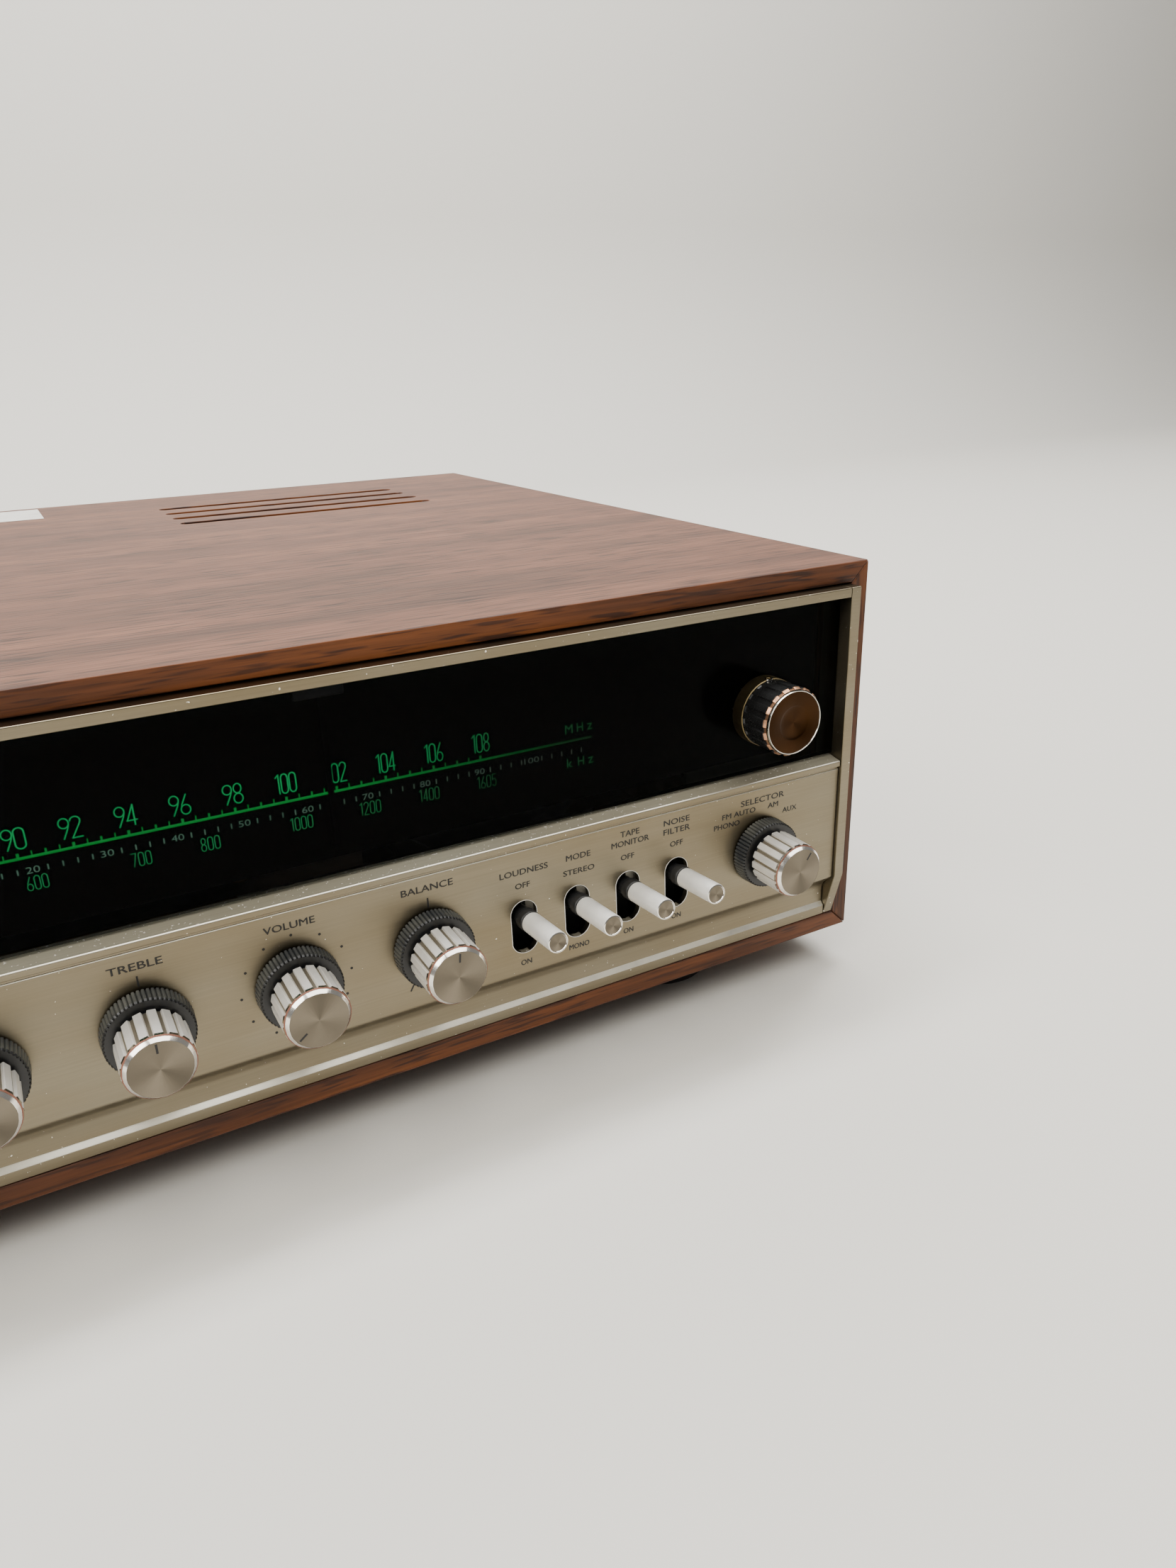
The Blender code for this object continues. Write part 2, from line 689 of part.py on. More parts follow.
def make_control_bracket(steel):
    """A folded strip that holds six potentiometer cans, four lever forks and a bearing."""
    low = (BRACKET_LEFT, BRACKET_Y, BRACKET_LOW)
    strip = Shape().box(low, (BRACKET_RIGHT, BRACKET_BACK, BRACKET_HIGH))
    strip = strip.make("control_bracket", steel)
    parts = Shape()
    start = BRACKET_BACK - 0.5
    for x in KNOBS.values():
        parts.cylinder((x, KNOB_Z), 1, CAN_RADIUS, start, CAN_END, sides=16)
    for x in LEVERS.values():
        for side in (-1, 1):
            left, right = sorted((x + side * FORK_INNER, x + side * FORK_OUTER))
            parts.box((left, start, FORK_LOW), (right, FORK_END, FORK_HIGH))
    low = (BEARING_LEFT, BRACKET_Y, BRACKET_HIGH - 2)
    parts.box(low, (BRACKET_RIGHT, BRACKET_BACK, BEARING_HIGH))
    fuse(strip, parts)
    pins = Shape()
    for x in LEVERS.values():
        centre = (LEVER_PIVOT_Y, LEVER_Z)
        pins.cylinder(centre, 0, PIVOT_RADIUS, x - 5, x + 5, sides=12)
    fuse(strip, pins)
    holes = Shape()
    before = BRACKET_Y - 4
    bore = SHAFT_RADIUS + GAP
    for x in KNOBS.values():
        holes.cylinder((x, KNOB_Z), 1, bore, before, SHAFT_END + 0.5, sides=16)
    for x in LEVERS.values():
        low = (x - 3.6, before, LEVER_Z - 8)
        holes.box(low, (x + 3.6, BRACKET_BACK + 2.5, LEVER_Z + 8))
    holes.cylinder((TUNING_X, TUNING_Z), 1, bore, before, BRACKET_BACK + 2.5, sides=16)
    holes.cylinder((PHONES_X, KNOB_Z), 1, 7.5, before, BRACKET_BACK + 2.5)
    cut(strip, holes)


def make_phones_jack(chrome):
    centre = (PHONES_X, 0, KNOB_Z)
    jack = [
        (JACK_BORE, JACK_FRONT),
        (JACK_FLANGE_RADIUS - 1.2, JACK_FRONT),
        (JACK_FLANGE_RADIUS, JACK_FRONT + 0.8),
        (JACK_FLANGE_RADIUS, PANEL_FRONT - GAP),
        (JACK_THREAD_RADIUS, PANEL_FRONT - GAP),
        (JACK_THREAD_RADIUS, JACK_BODY_START),
        (JACK_BODY_RADIUS, JACK_BODY_START),
        (JACK_BODY_RADIUS, JACK_END),
        (JACK_BORE, JACK_END),
    ]
    Shape(centre).turned(jack, centre).make("headphone_jack", chrome, smooth=True)


def make_chassis(steel):
    inner = TRAY_HALF - TRAY_SHEET
    floor = TRAY_LOW + TRAY_SHEET
    tray = [
        (-TRAY_HALF, TRAY_LOW),
        (TRAY_HALF, TRAY_LOW),
        (TRAY_HALF, TRAY_HIGH),
        (inner, TRAY_HIGH),
        (inner, floor),
        (-inner, floor),
        (-inner, TRAY_HIGH),
        (-TRAY_HALF, TRAY_HIGH),
    ]
    Shape().prism(tray, 1, TRIM_BACK + 1, REAR_Y - GAP).make("chassis", steel)


def make_power_transformer(laminations):
    core = Shape().box(TRANSFORMER_LOW, TRANSFORMER_HIGH).make("power_transformer", laminations)
    parts = Shape()
    for low, high in (*COILS, TRANSFORMER_FEET):
        parts.box(low, high)
    fuse(core, parts)


def make_heat_sink(aluminium):
    """A comb of upright fins on both sides of a base plate, under the vent slots."""
    low = (SINK_LEFT, SINK_Y - SINK_BASE_HALF, SINK_LOW)
    base = Shape().box(low, (SINK_RIGHT, SINK_Y + SINK_BASE_HALF, SINK_HIGH))
    base = base.make("heat_sink", aluminium)
    fins = Shape()
    pitch = (SINK_RIGHT - SINK_LEFT - 2 * FIN_INSET) / (FIN_COUNT - 1)
    for n in range(FIN_COUNT):
        x = SINK_LEFT + FIN_INSET + n * pitch
        low = (x - FIN_HALF, SINK_Y - FIN_REACH, SINK_LOW + FIN_TRIM)
        fins.box(low, (x + FIN_HALF, SINK_Y + FIN_REACH, SINK_HIGH - FIN_TRIM))
    fuse(base, fins)


def make_circuit_board(board_green):
    board = Shape().box(BOARD_LOW, BOARD_HIGH).make("circuit_board", board_green)
    parts = Shape()
    for spot in SPACERS:
        parts.cylinder(spot, 2, SPACER_RADIUS, SPACER_LOW, SEAT, sides=10)
    for x, y, radius, height in CAPACITORS:
        parts.cylinder((x, y), 2, radius, SEAT, height, sides=16)
    for left, front, right, back in COIL_CANS:
        parts.box((left, front, SEAT), (right, back, COIL_CAN_HIGH))
    fuse(board, parts)


def make_rear_panel(steel):
    """A sheet with an ear and a pin for the aerial, and a hole for the cord."""
    low = (-REAR_HALF, REAR_Y, REAR_LOW)
    panel = Shape().box(low, (REAR_HALF, REAR_BACK, REAR_HIGH)).make("rear_panel", steel)
    low = (ROD_PIVOT_X - ROD_EAR_HALF, REAR_BACK - 0.8, ROD_EAR_Z[0])
    high = (ROD_PIVOT_X + ROD_EAR_HALF, ROD_Y + ROD_RADIUS, ROD_EAR_Z[1])
    fuse(panel, Shape().box(low, high))
    centre = (ROD_PIVOT_X, ROD_Y)
    fuse(panel, Shape().cylinder(centre, 2, ROD_PIN_RADIUS, *ROD_PIN_Z, sides=12))
    hole = Shape().cylinder(
        (CORD_X, CORD_Z), 1, CORD_HOLE_RADIUS, REAR_Y - 9, REAR_BACK + 9, sides=16
    )
    cut(panel, hole)


def make_aerial(ferrite):
    """Ferrite rod aerial: an eye on the panel's pin, an arm, and the wound rod."""
    pivot = (ROD_PIVOT_X, ROD_Y, ROD_Z)
    centre = (ROD_PIVOT_X, ROD_Y)
    start = ROD_PIVOT_X + ROD_RADIUS
    rod = Shape(pivot).cylinder((ROD_Y, ROD_Z), 0, ROD_RADIUS, start, ROD_END)
    rod = rod.make("antenna_rod", ferrite, smooth=True)
    low = (ROD_PIVOT_X + ROD_ARM_X[0], ROD_Y - ROD_ARM_HALF, ROD_ARM_Z[0])
    high = (ROD_PIVOT_X + ROD_ARM_X[1], ROD_Y + ROD_ARM_HALF, ROD_ARM_Z[1])
    fuse(rod, Shape(pivot).box(low, high))
    fuse(rod, Shape(pivot).cylinder(centre, 2, ROD_RADIUS, *ROD_HUB_Z, sides=16))
    bore = ROD_PIN_RADIUS + GAP
    cut(rod, Shape(pivot).cylinder(centre, 2, bore, 90, 130, sides=12))


def make_connections(black, bakelite):
    low = (-PHONO_HALF, MOUNT_Y, PHONO_Z[0])
    strip = Shape().box(low, (PHONO_HALF, MOUNT_Y + PHONO_SHEET, PHONO_Z[1]))
    strip = strip.make("phono_sockets", bakelite)
    sockets = Shape()
    bores = Shape()
    for column in range(PHONO_COLUMNS):
        for z in PHONO_ROWS:
            centre = (PHONO_FIRST_X + PHONO_PITCH * column, z)
            end = MOUNT_Y + PHONO_REACH
            sockets.cylinder(centre, 1, PHONO_RADIUS, MOUNT_Y + 1, end, sides=12)
            bores.cylinder(centre, 1, PHONO_BORE, MOUNT_Y + 4, end + 2, sides=8)
    fuse(strip, sockets)
    cut(strip, bores)

    left, bottom = TERMINAL_LOW_CORNER
    right, top = TERMINAL_HIGH_CORNER
    block = Shape().box((left, MOUNT_Y, bottom), (right, MOUNT_Y + TERMINAL_THICKNESS, top))
    block = block.make("terminal_strip", bakelite)
    screws = Shape()
    start = MOUNT_Y + TERMINAL_THICKNESS - 1
    end = MOUNT_Y + TERMINAL_SCREW_END
    for n in range(TERMINAL_COUNT):
        centre = (TERMINAL_FIRST_X + TERMINAL_PITCH * n, TERMINAL_Z)
        screws.cylinder(centre, 1, TERMINAL_SCREW_RADIUS, start, end, sides=12)
    fuse(block, screws)

    left, bottom = OUTLET_LOW_CORNER
    right, top = OUTLET_HIGH_CORNER
    outlet = Shape().box((left, MOUNT_Y, bottom), (right, MOUNT_Y + OUTLET_THICKNESS, top))
    outlet = outlet.make("ac_outlet", black)
    blades = Shape()
    for x in OUTLET_BLADES:
        low = (x - BLADE_HALF, MOUNT_Y + 1, BLADE_Z[0])
        blades.box(low, (x + BLADE_HALF, MOUNT_Y + 9, BLADE_Z[1]))
    cut(outlet, blades)

    centre = (CORD_X, 0, CORD_Z)
    gland = [
        (CORD_BORE, REAR_Y - 4),
        (CORD_NECK_RADIUS, REAR_Y - 4),
        (CORD_NECK_RADIUS, MOUNT_Y),
        (CORD_FLANGE_RADIUS, MOUNT_Y),
        (CORD_TIP_RADIUS, MOUNT_Y + CORD_REACH),
        (CORD_BORE, MOUNT_Y + CORD_REACH),
    ]
    Shape(centre).turned(gland, centre).make("cord_grommet", black, smooth=True)


def main():
    clear_scene()
    walnut = finish("walnut veneer", (0.20, 0.10, 0.05), 0.45)
    rubber = finish("black rubber", (0.02, 0.02, 0.02), 0.8)
    champagne = finish("champagne anodised aluminium", (0.62, 0.57, 0.45), 0.35, 1.0)
    bright = finish("bright turned aluminium", (0.83, 0.82, 0.79), 0.25, 1.0)
    glass = finish("smoked dial window", (0.01, 0.01, 0.01), 0.05)
    black = finish("black moulded plastic", (0.02, 0.02, 0.02), 0.5)
    painted = finish("meter case", (0.03, 0.03, 0.03), 0.4)
    red = finish("red needle", (0.7, 0.05, 0.03), 0.5)
    bronze = finish("bronze spun aluminium", (0.28, 0.16, 0.09), 0.3, 1.0)
    brass = finish("brass", (0.75, 0.58, 0.28), 0.35, 1.0)
    steel = finish("zinc plated steel", (0.60, 0.60, 0.58), 0.4, 1.0)
    laminations = finish("transformer laminations", (0.10, 0.10, 0.11), 0.5, 0.6)
    board_green = finish("circuit board", (0.25, 0.16, 0.06), 0.6)
    bakelite = finish("bakelite", (0.04, 0.025, 0.02), 0.4)
    ferrite = finish("ferrite rod sleeve", (0.03, 0.03, 0.03), 0.6)
    make_cabinet(walnut)
    make_feet(rubber)
    make_metal_trim(champagne)
    make_control_panel(champagne)
    make_dial(glass, black, painted, red)
    make_tuning(black, bronze, steel, brass, bright)
    make_knobs(bright, black, steel)
    make_levers(bright, black)
    make_control_bracket(steel)
    make_phones_jack(bright)
    make_chassis(steel)
    make_power_transformer(laminations)
    make_heat_sink(bright)
    make_circuit_board(board_green)
    make_rear_panel(steel)
    make_aerial(ferrite)
    make_connections(black, bakelite)


main()
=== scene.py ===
# %% [markdown]
# # A stereo receiver in a wood sleeve
# The set is a tuner and an amplifier in one low box: a mitred walnut sleeve, a champagne metal
# front, a black dial window with green figures behind it, turned knobs and four small levers.
# The working model already fixes every size, place and joint. It could be painted as it is, but
# its solids are faceted, so this script keeps the hidden ones and builds new skins for the rest.
# Every new piece rides on the body that it belongs to, so one script is right at every pose.

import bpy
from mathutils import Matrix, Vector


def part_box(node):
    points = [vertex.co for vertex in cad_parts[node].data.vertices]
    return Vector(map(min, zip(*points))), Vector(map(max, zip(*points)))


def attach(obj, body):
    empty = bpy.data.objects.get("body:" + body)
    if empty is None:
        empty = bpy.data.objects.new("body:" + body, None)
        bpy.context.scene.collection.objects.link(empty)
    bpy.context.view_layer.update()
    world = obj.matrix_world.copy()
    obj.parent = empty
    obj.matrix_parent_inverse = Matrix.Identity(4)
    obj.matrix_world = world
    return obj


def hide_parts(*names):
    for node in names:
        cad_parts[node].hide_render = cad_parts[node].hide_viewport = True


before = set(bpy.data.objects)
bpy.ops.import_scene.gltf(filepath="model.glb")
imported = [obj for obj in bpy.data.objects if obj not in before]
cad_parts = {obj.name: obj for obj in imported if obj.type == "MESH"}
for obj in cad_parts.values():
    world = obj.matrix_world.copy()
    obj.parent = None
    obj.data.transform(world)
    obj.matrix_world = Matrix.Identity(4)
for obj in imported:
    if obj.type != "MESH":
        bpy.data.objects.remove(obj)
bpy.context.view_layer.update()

# %% Modules, the unit and the front of the sleeve
import math

import bmesh
import bpy
from mathutils import Matrix, Vector

MM = 0.001
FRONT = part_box("cabinet_top")[0].y


# %% Places in millimetres
def place(x, y, z):
    """A point of the frame: x from the middle, y back from the wood's front edges, z up."""
    return Vector((x * MM, FRONT + y * MM, z * MM))


def span(node):
    """The lowest and highest corners of a working node, in the same millimetres."""
    shift = Vector((0, FRONT, 0))
    return [(corner - shift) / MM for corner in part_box(node)]


def middle(node):
    """The centre of a working node's box, in the same millimetres."""
    low, high = span(node)
    return (low + high) / 2


def circle(x, z, radius, sides):
    """Points round a circle."""
    turns = [math.tau * n / sides for n in range(sides)]
    return [(x + radius * math.cos(t), z + radius * math.sin(t)) for t in turns]


KNOBS = ("speakers", "bass", "treble", "volume", "balance", "selector")
LEVERS = ("loudness", "mode", "tape_monitor", "noise_filter")
print("knob centres, mm:", [round(middle(f"{name}_shaft").x, 1) for name in KNOBS])

# %% [markdown]
# ## The camera
# It stands a little above and in front of the middle of the set and looks to the right, so the
# front runs away from it. A camera can be aimed with a constraint, but three angles say more
# plainly how the head is turned: yaw to the right, pitch down and a small roll.

# %% Camera
EYE = (-10.3, -237.5, 193.0)
YAW, PITCH, ROLL = (math.radians(angle) for angle in (28.67, 21.99, -1.72))
FOCAL_LENGTH, FILM_WIDTH = 24.95, 36.0
ahead = Vector(
    (math.sin(YAW) * math.cos(PITCH), math.cos(YAW) * math.cos(PITCH), -math.sin(PITCH))
)
level = Vector((math.cos(YAW), -math.sin(YAW), 0))
upright = level.cross(ahead)
right_hand = level * math.cos(ROLL) + upright * math.sin(ROLL)
overhead = upright * math.cos(ROLL) - level * math.sin(ROLL)
camera = bpy.data.objects.new("camera", bpy.data.cameras.new("camera"))
bpy.context.scene.collection.objects.link(camera)
camera.matrix_world = Matrix((right_hand, overhead, -ahead)).transposed().to_4x4()
camera.location = place(*EYE)
camera.data.lens = FOCAL_LENGTH
camera.data.sensor_width = FILM_WIDTH
camera.data.clip_start = 10 * MM
bpy.context.scene.camera = camera
print("camera, mm:", EYE)

# %% [markdown]
# ## How a finish is written
# Each finish is a small network of nodes on a Principled shader. Colours are written as the hex
# values that a paint chart would give and turned linear once. One function adds any node, sets
# it and links it, so a network reads from top to bottom like a recipe. Patterns are measured in
# real millimetres on the piece itself, which keeps a grain the same size on every board.


# %% Colours and nodes
def linear(code):
    """An sRGB hex value as the linear colour that a shader wants."""
    parts = [int(code[n : n + 2], 16) / 255 for n in (0, 2, 4)]
    return (*[p / 12.92 if p <= 0.04045 else ((p + 0.055) / 1.055) ** 2.4 for p in parts], 1.0)


def add(tree, kind, inputs=None, stops=(), **settings):
    """Adds one node, sets it, fills its sockets and links the sockets that it is given."""
    made = tree.nodes.new("ShaderNode" + kind)
    for name, value in settings.items():
        setattr(made, name, value)
    for socket, value in (inputs or {}).items():
        if isinstance(value, bpy.types.NodeSocket):
            tree.links.new(value, made.inputs[socket])
        else:
            made.inputs[socket].default_value = value
    if stops:
        ramp = made.color_ramp.elements
        ramp.remove(ramp[1])
        ramp[0].position = stops[0][0]
        ramp[0].color = stops[0][1]
        for position, colour in stops[1:]:
            ramp.new(position).color = colour
    return made


def finish_of(name, code, roughness, metallic=0.0, **constants):
    """A named material with its constant values set; returns it, its tree and its shader."""
    material = bpy.data.materials.new(name)
    material.use_nodes = True
    tree = material.node_tree
    shader = tree.nodes["Principled BSDF"]
    shader.inputs["Base Color"].default_value = linear(code)
    shader.inputs["Roughness"].default_value = roughness
    shader.inputs["Metallic"].default_value = metallic
    for socket, value in constants.items():
        shader.inputs[socket.replace("_", " ")].default_value = value
    return material, tree, shader


def measured(tree, sizes):
    """Object coordinates whose unit is the given millimetres along X, Y and Z."""
    scale = [1 / (size * MM) for size in sizes]
    where = add(tree, "TexCoord").outputs["Object"]
    return add(tree, "Mapping", {"Vector": where, "Scale": scale}).outputs["Vector"]


def grey(value):
    """A linear grey, for shades that multiply a colour."""
    return (value, value, value, 1.0)


def textured(tree, shader, height, depth_mm, strength):
    """Turns a height pattern into fine relief of a real depth."""
    settings = {"Height": height, "Distance": depth_mm * MM, "Strength": strength}
    bump = add(tree, "Bump", settings)
    tree.links.new(bump.outputs["Normal"], shader.inputs["Normal"])


print("tools for finishes ready")

# %% [markdown]
# ## Walnut grain
# Sleeves like this are particle board wrapped in walnut veneer or a vinyl print of it, under a
# satin lacquer. The eye reads three scales: bands a finger wide, fibres a millimetre wide, and
# short dark pores. Each is a noise stretched along the grain. Pores are really 0.2 mm wide; here
# they are drawn several times as wide, because thinner ones would vanish. The edge banding is
# redder and glossier than the boards; on the side boards it is painted a little darker, as shade.


# %% Walnut veneer
def walnut_veneer(name, along, light, middle_tone, dark, roughness):
    """Satin veneer whose grain runs along the given axis."""

    def grain(length, width):
        """Coordinates that stretch a noise to this length and width, in millimetres."""
        sizes = [width] * 3
        sizes[along] = length
        return measured(tree, sizes)

    material, tree, shader = finish_of(name, middle_tone, roughness, Specular_IOR_Level=0.28)
    tones = [(0.30, linear(dark)), (0.48, linear(middle_tone)), (0.72, linear(light))]
    bands = add(tree, "TexNoise", {"Vector": grain(150, 17), "Scale": 1, "Detail": 3})
    band_colour = add(tree, "ValToRGB", {"Fac": bands.outputs["Fac"]}, stops=tones)
    fibres = add(
        tree, "TexNoise", {"Vector": grain(38, 1.1), "Scale": 1, "Detail": 4, "Roughness": 0.62}
    )
    shade = add(
        tree,
        "ValToRGB",
        {"Fac": fibres.outputs["Fac"]},
        stops=[(0.28, grey(0.6)), (0.52, grey(0.98)), (0.75, grey(1.26))],
    )
    fibred = add(
        tree,
        "Mix",
        {0: 1.0, 6: band_colour.outputs["Color"], 7: shade.outputs["Color"]},
        data_type="RGBA",
        blend_type="MULTIPLY",
    )
    pores = add(tree, "TexNoise", {"Vector": grain(15, 1.0), "Scale": 1, "Detail": 1.5})
    pore_mask = add(
        tree, "ValToRGB", {"Fac": pores.outputs["Fac"]}, stops=[(0.53, grey(0)), (0.64, grey(1))]
    )
    patches = add(tree, "TexNoise", {"Vector": grain(90, 12), "Scale": 1, "Detail": 2})
    patch_mask = add(
        tree,
        "ValToRGB",
        {"Fac": patches.outputs["Fac"]},
        stops=[(0.35, grey(0.6)), (0.62, grey(0.95))],
    )
    pored = add(
        tree,
        "Math",
        {0: pore_mask.outputs["Color"], 1: patch_mask.outputs["Color"]},
        operation="MULTIPLY",
    )
    surface = add(
        tree,
        "Mix",
        {0: pored.outputs["Value"], 6: fibred.outputs[2], 7: linear("2A150D")},
        data_type="RGBA",
    )
    tree.links.new(surface.outputs[2], shader.inputs["Base Color"])
    satin = add(
        tree,
        "MapRange",
        {0: fibres.outputs["Fac"], 3: roughness + 0.08, 4: roughness - 0.06},
    )
    tree.links.new(satin.outputs["Result"], shader.inputs["Roughness"])
    relief = add(
        tree, "Math", {0: fibres.outputs["Fac"], 1: pored.outputs["Value"]}, operation="SUBTRACT"
    )
    textured(tree, shader, relief.outputs["Value"], 0.10, 0.35)
    return material


BOARD_TONES = ("6E4733", "5D3A2A", "4A2D20", 0.5)
BANDING_TONES = ("80491F", "613517", "3C1E0E", 0.42)
# The side boards' banding: the same banding painted darker, as painted shade on the upright edges.
SHADED_TONES = ("683B1C", "4C2912", "2F180B", 0.46)
walnut_across = walnut_veneer("walnut_veneer_top", 0, *BOARD_TONES)
walnut_upright = walnut_veneer("walnut_veneer_sides", 2, *BOARD_TONES)
walnut_edge = walnut_veneer("walnut_edge_banding", 0, *BANDING_TONES)
walnut_edge_side_painted_shade = walnut_veneer("walnut_edge_banding_sides_painted_shade", 2, *SHADED_TONES)
print("walnut finishes made")

# %% [markdown]
# ## Metals
# The trim is champagne anodised aluminium, brushed along its length before it was dyed, so
# highlights stretch across the brushing. The knob caps are turned aluminium, polished on the
# lands and cut in fine circles on the face. All of them are metal, so their colour is the colour
# of their reflection. The brushing direction comes from each piece's own UV map. Satin lands and
# dusty edges also scatter light from a haze of fine scratches, so they are set less metallic.


# %% Champagne anodised aluminium
def champagne_anodised(name, code, stain, roughness, metallic, dust_from):
    """Brushed and dyed; the lower dust_from is, the more pale dust lies on it."""
    material, tree, shader = finish_of(name, code, roughness, metallic, Anisotropic=0.7)
    strokes = add(
        tree,
        "TexNoise",
        {"Vector": measured(tree, (55, 0.5, 0.5)), "Scale": 1, "Detail": 5, "Roughness": 0.7},
    )
    stains = add(
        tree, "TexNoise", {"Vector": measured(tree, (60, 30, 22)), "Scale": 1, "Detail": 4}
    )
    tint = add(
        tree,
        "ValToRGB",
        {"Fac": stains.outputs["Fac"]},
        stops=[(0.36, linear(code)), (0.74, linear(stain))],
    )
    streak = add(
        tree,
        "ValToRGB",
        {"Fac": strokes.outputs["Fac"]},
        stops=[(0.3, grey(0.90)), (0.7, grey(1.04))],
    )
    brushed = add(
        tree,
        "Mix",
        {0: 1.0, 6: tint.outputs["Color"], 7: streak.outputs["Color"]},
        data_type="RGBA",
        blend_type="MULTIPLY",
    )
    dust = add(tree, "TexNoise", {"Vector": measured(tree, (0.9, 0.9, 0.9)), "Scale": 1})
    specks = add(
        tree,
        "ValToRGB",
        {"Fac": dust.outputs["Fac"]},
        stops=[(dust_from, grey(0)), (dust_from + 0.03, grey(1))],
    )
    dusty = add(
        tree,
        "Mix",
        {0: specks.outputs["Color"], 6: brushed.outputs[2], 7: linear("EFEBE0")},
        data_type="RGBA",
    )
    tree.links.new(dusty.outputs[2], shader.inputs["Base Color"])
    uneven = add(
        tree,
        "MapRange",
        {0: strokes.outputs["Fac"], 3: roughness - 0.06, 4: roughness + 0.08},
    )
    tree.links.new(uneven.outputs["Result"], shader.inputs["Roughness"])
    textured(tree, shader, strokes.outputs["Fac"], 0.02, 0.25)
    direction = add(tree, "Tangent", direction_type="UV_MAP", uv_map="brushing")
    tree.links.new(direction.outputs["Tangent"], shader.inputs["Tangent"])
    return material


# Clean brushed dye: warm grey green, with long soft highlights.
champagne = champagne_anodised(
    "champagne_anodised_aluminium", "847C6A", "7A6E57", 0.33, 1.0, 0.74
)
# The same metal where it faces up: paler and duller under a film of dust.
dusty_ledge = champagne_anodised("dusty_brushed_ledge", "B4AE9A", "A29A85", 0.5, 0.55, 0.66)
print("champagne trim made")


# %% Turned aluminium: satin lands, polished chamfers and a face cut in circles
def turned_aluminium(name, code, roughness, cut=0.0, metallic=1.0, painted_wedge_depth=0.0):
    """cut is how strongly the lathe's circles stretch the highlights into wedges; the last argument
    paints light and dark wedges into the colour, a painted reflection.
    """
    material, tree, shader = finish_of(name, code, roughness, metallic, Anisotropic=cut)
    cloud = add(
        tree,
        "TexNoise",
        {"Vector": measured(tree, (3.5, 3.5, 3.5)), "Scale": 1, "Detail": 4, "Roughness": 0.6},
    )
    worn = add(
        tree,
        "MapRange",
        {0: cloud.outputs["Fac"], 3: max(roughness - 0.05, 0.03), 4: roughness + 0.07},
    )
    tree.links.new(worn.outputs["Result"], shader.inputs["Roughness"])
    patina = add(
        tree,
        "ValToRGB",
        {"Fac": cloud.outputs["Fac"]},
        stops=[(0.3, grey(0.93)), (0.65, grey(1.0))],
    )
    toned = add(
        tree,
        "Mix",
        {0: 1.0, 6: linear(code), 7: patina.outputs["Color"]},
        data_type="RGBA",
        blend_type="MULTIPLY",
    )
    tree.links.new(toned.outputs[2], shader.inputs["Base Color"])
    # Light and dark wedges painted into the colour by the angle round the axis: a painted reflection,
    # fixed on the piece.
    if cut:
        turning = add(tree, "UVMap", uv_map="brushing")
        around = add(tree, "SeparateXYZ", {"Vector": turning.outputs["UV"]}).outputs["X"]
        twice = add(tree, "Math", {0: around}, operation="SINE")
        third = add(tree, "Math", {0: around, 1: 1.5, 2: 0.9}, operation="MULTIPLY_ADD")
        thrice = add(tree, "Math", {0: third.outputs["Value"]}, operation="SINE")
        waves = add(
            tree, "Math", {0: twice.outputs["Value"], 1: thrice.outputs["Value"]}, operation="ADD"
        )
        painted_sheen = add(
            tree,
            "MapRange",
            {0: waves.outputs["Value"], 1: -2.0, 2: 2.0, 3: 1 - painted_wedge_depth, 4: 1 + painted_wedge_depth},
        )
        painted_wedge_colour = add(
            tree,
            "Mix",
            {0: 1.0, 6: toned.outputs[2], 7: painted_sheen.outputs["Result"]},
            data_type="RGBA",
            blend_type="MULTIPLY",
        )
        tree.links.new(painted_wedge_colour.outputs[2], shader.inputs["Base Color"])
        circles = add(
            tree, "Mapping", {"Vector": turning.outputs["UV"], "Scale": (0.6, 3.2, 1)}
        ).outputs["Vector"]
        rings = add(tree, "TexNoise", {"Vector": circles, "Scale": 1, "Detail": 3})
        textured(tree, shader, rings.outputs["Fac"], 0.02, 0.12)
        direction = add(tree, "Tangent", direction_type="UV_MAP", uv_map="brushing")
        tree.links.new(direction.outputs["Tangent"], shader.inputs["Tangent"])
    return material


# Edges cut with a diamond after the dye: bare metal that draws a bright line.
bright_cut = turned_aluminium("bright_cut_edge", "F2EDDD", 0.3, metallic=0.8)
# Clear anodised lands and sleeves: almost white, with a broad soft highlight.
satin_land = turned_aluminium("satin_turned_aluminium", "F4F1EA", 0.34, metallic=0.6)
lever_satin = turned_aluminium("satin_anodised_sleeve", "FCFAF4", 0.34, metallic=0.5)
# A polished chamfer mirrors the room in a thin ring; the flutes' floors and the fine line are painted
# darker, as shade in the grooves.
polished_ring = turned_aluminium("polished_aluminium_chamfer", "F6F1E8", 0.14)
shaded_groove = turned_aluminium("turned_aluminium_groove_painted_shade", "B0A898", 0.42)
groove_line_painted_shade = turned_aluminium("brown_groove_line_painted_shade", "8E6252", 0.45, metallic=0.6)
# Faces cut in circles: light and dark wedges meet at the middle, partly from the cut and partly
# painted into the colour as a painted reflection.
spun_face_painted_wedges = turned_aluminium("spun_aluminium_face_painted_wedges", "726A5D", 0.30, 0.9, painted_wedge_depth=0.35)
bronze_face_painted_wedges = turned_aluminium("bronze_anodised_spun_face_painted_wedges", "33200F", 0.32, 0.8, painted_wedge_depth=0.35)
# The tuning knob's collar is dark and dull; its cone has a rosy gleam.
bronze_collar = turned_aluminium("dark_bronze_collar", "6E6146", 0.42, 0.4)
rose_chamfer = turned_aluminium("rose_gold_chamfer", "BE9070", 0.3, metallic=0.9)
# Plated and plain metals of the connections and the inside.
nickel = turned_aluminium("nickel_plate", "CFCBC2", 0.16)
brass = turned_aluminium("turned_brass", "BE9A55", 0.28)
cast_aluminium = turned_aluminium("extruded_aluminium", "B9B8B4", 0.38)
print("turned metals made")


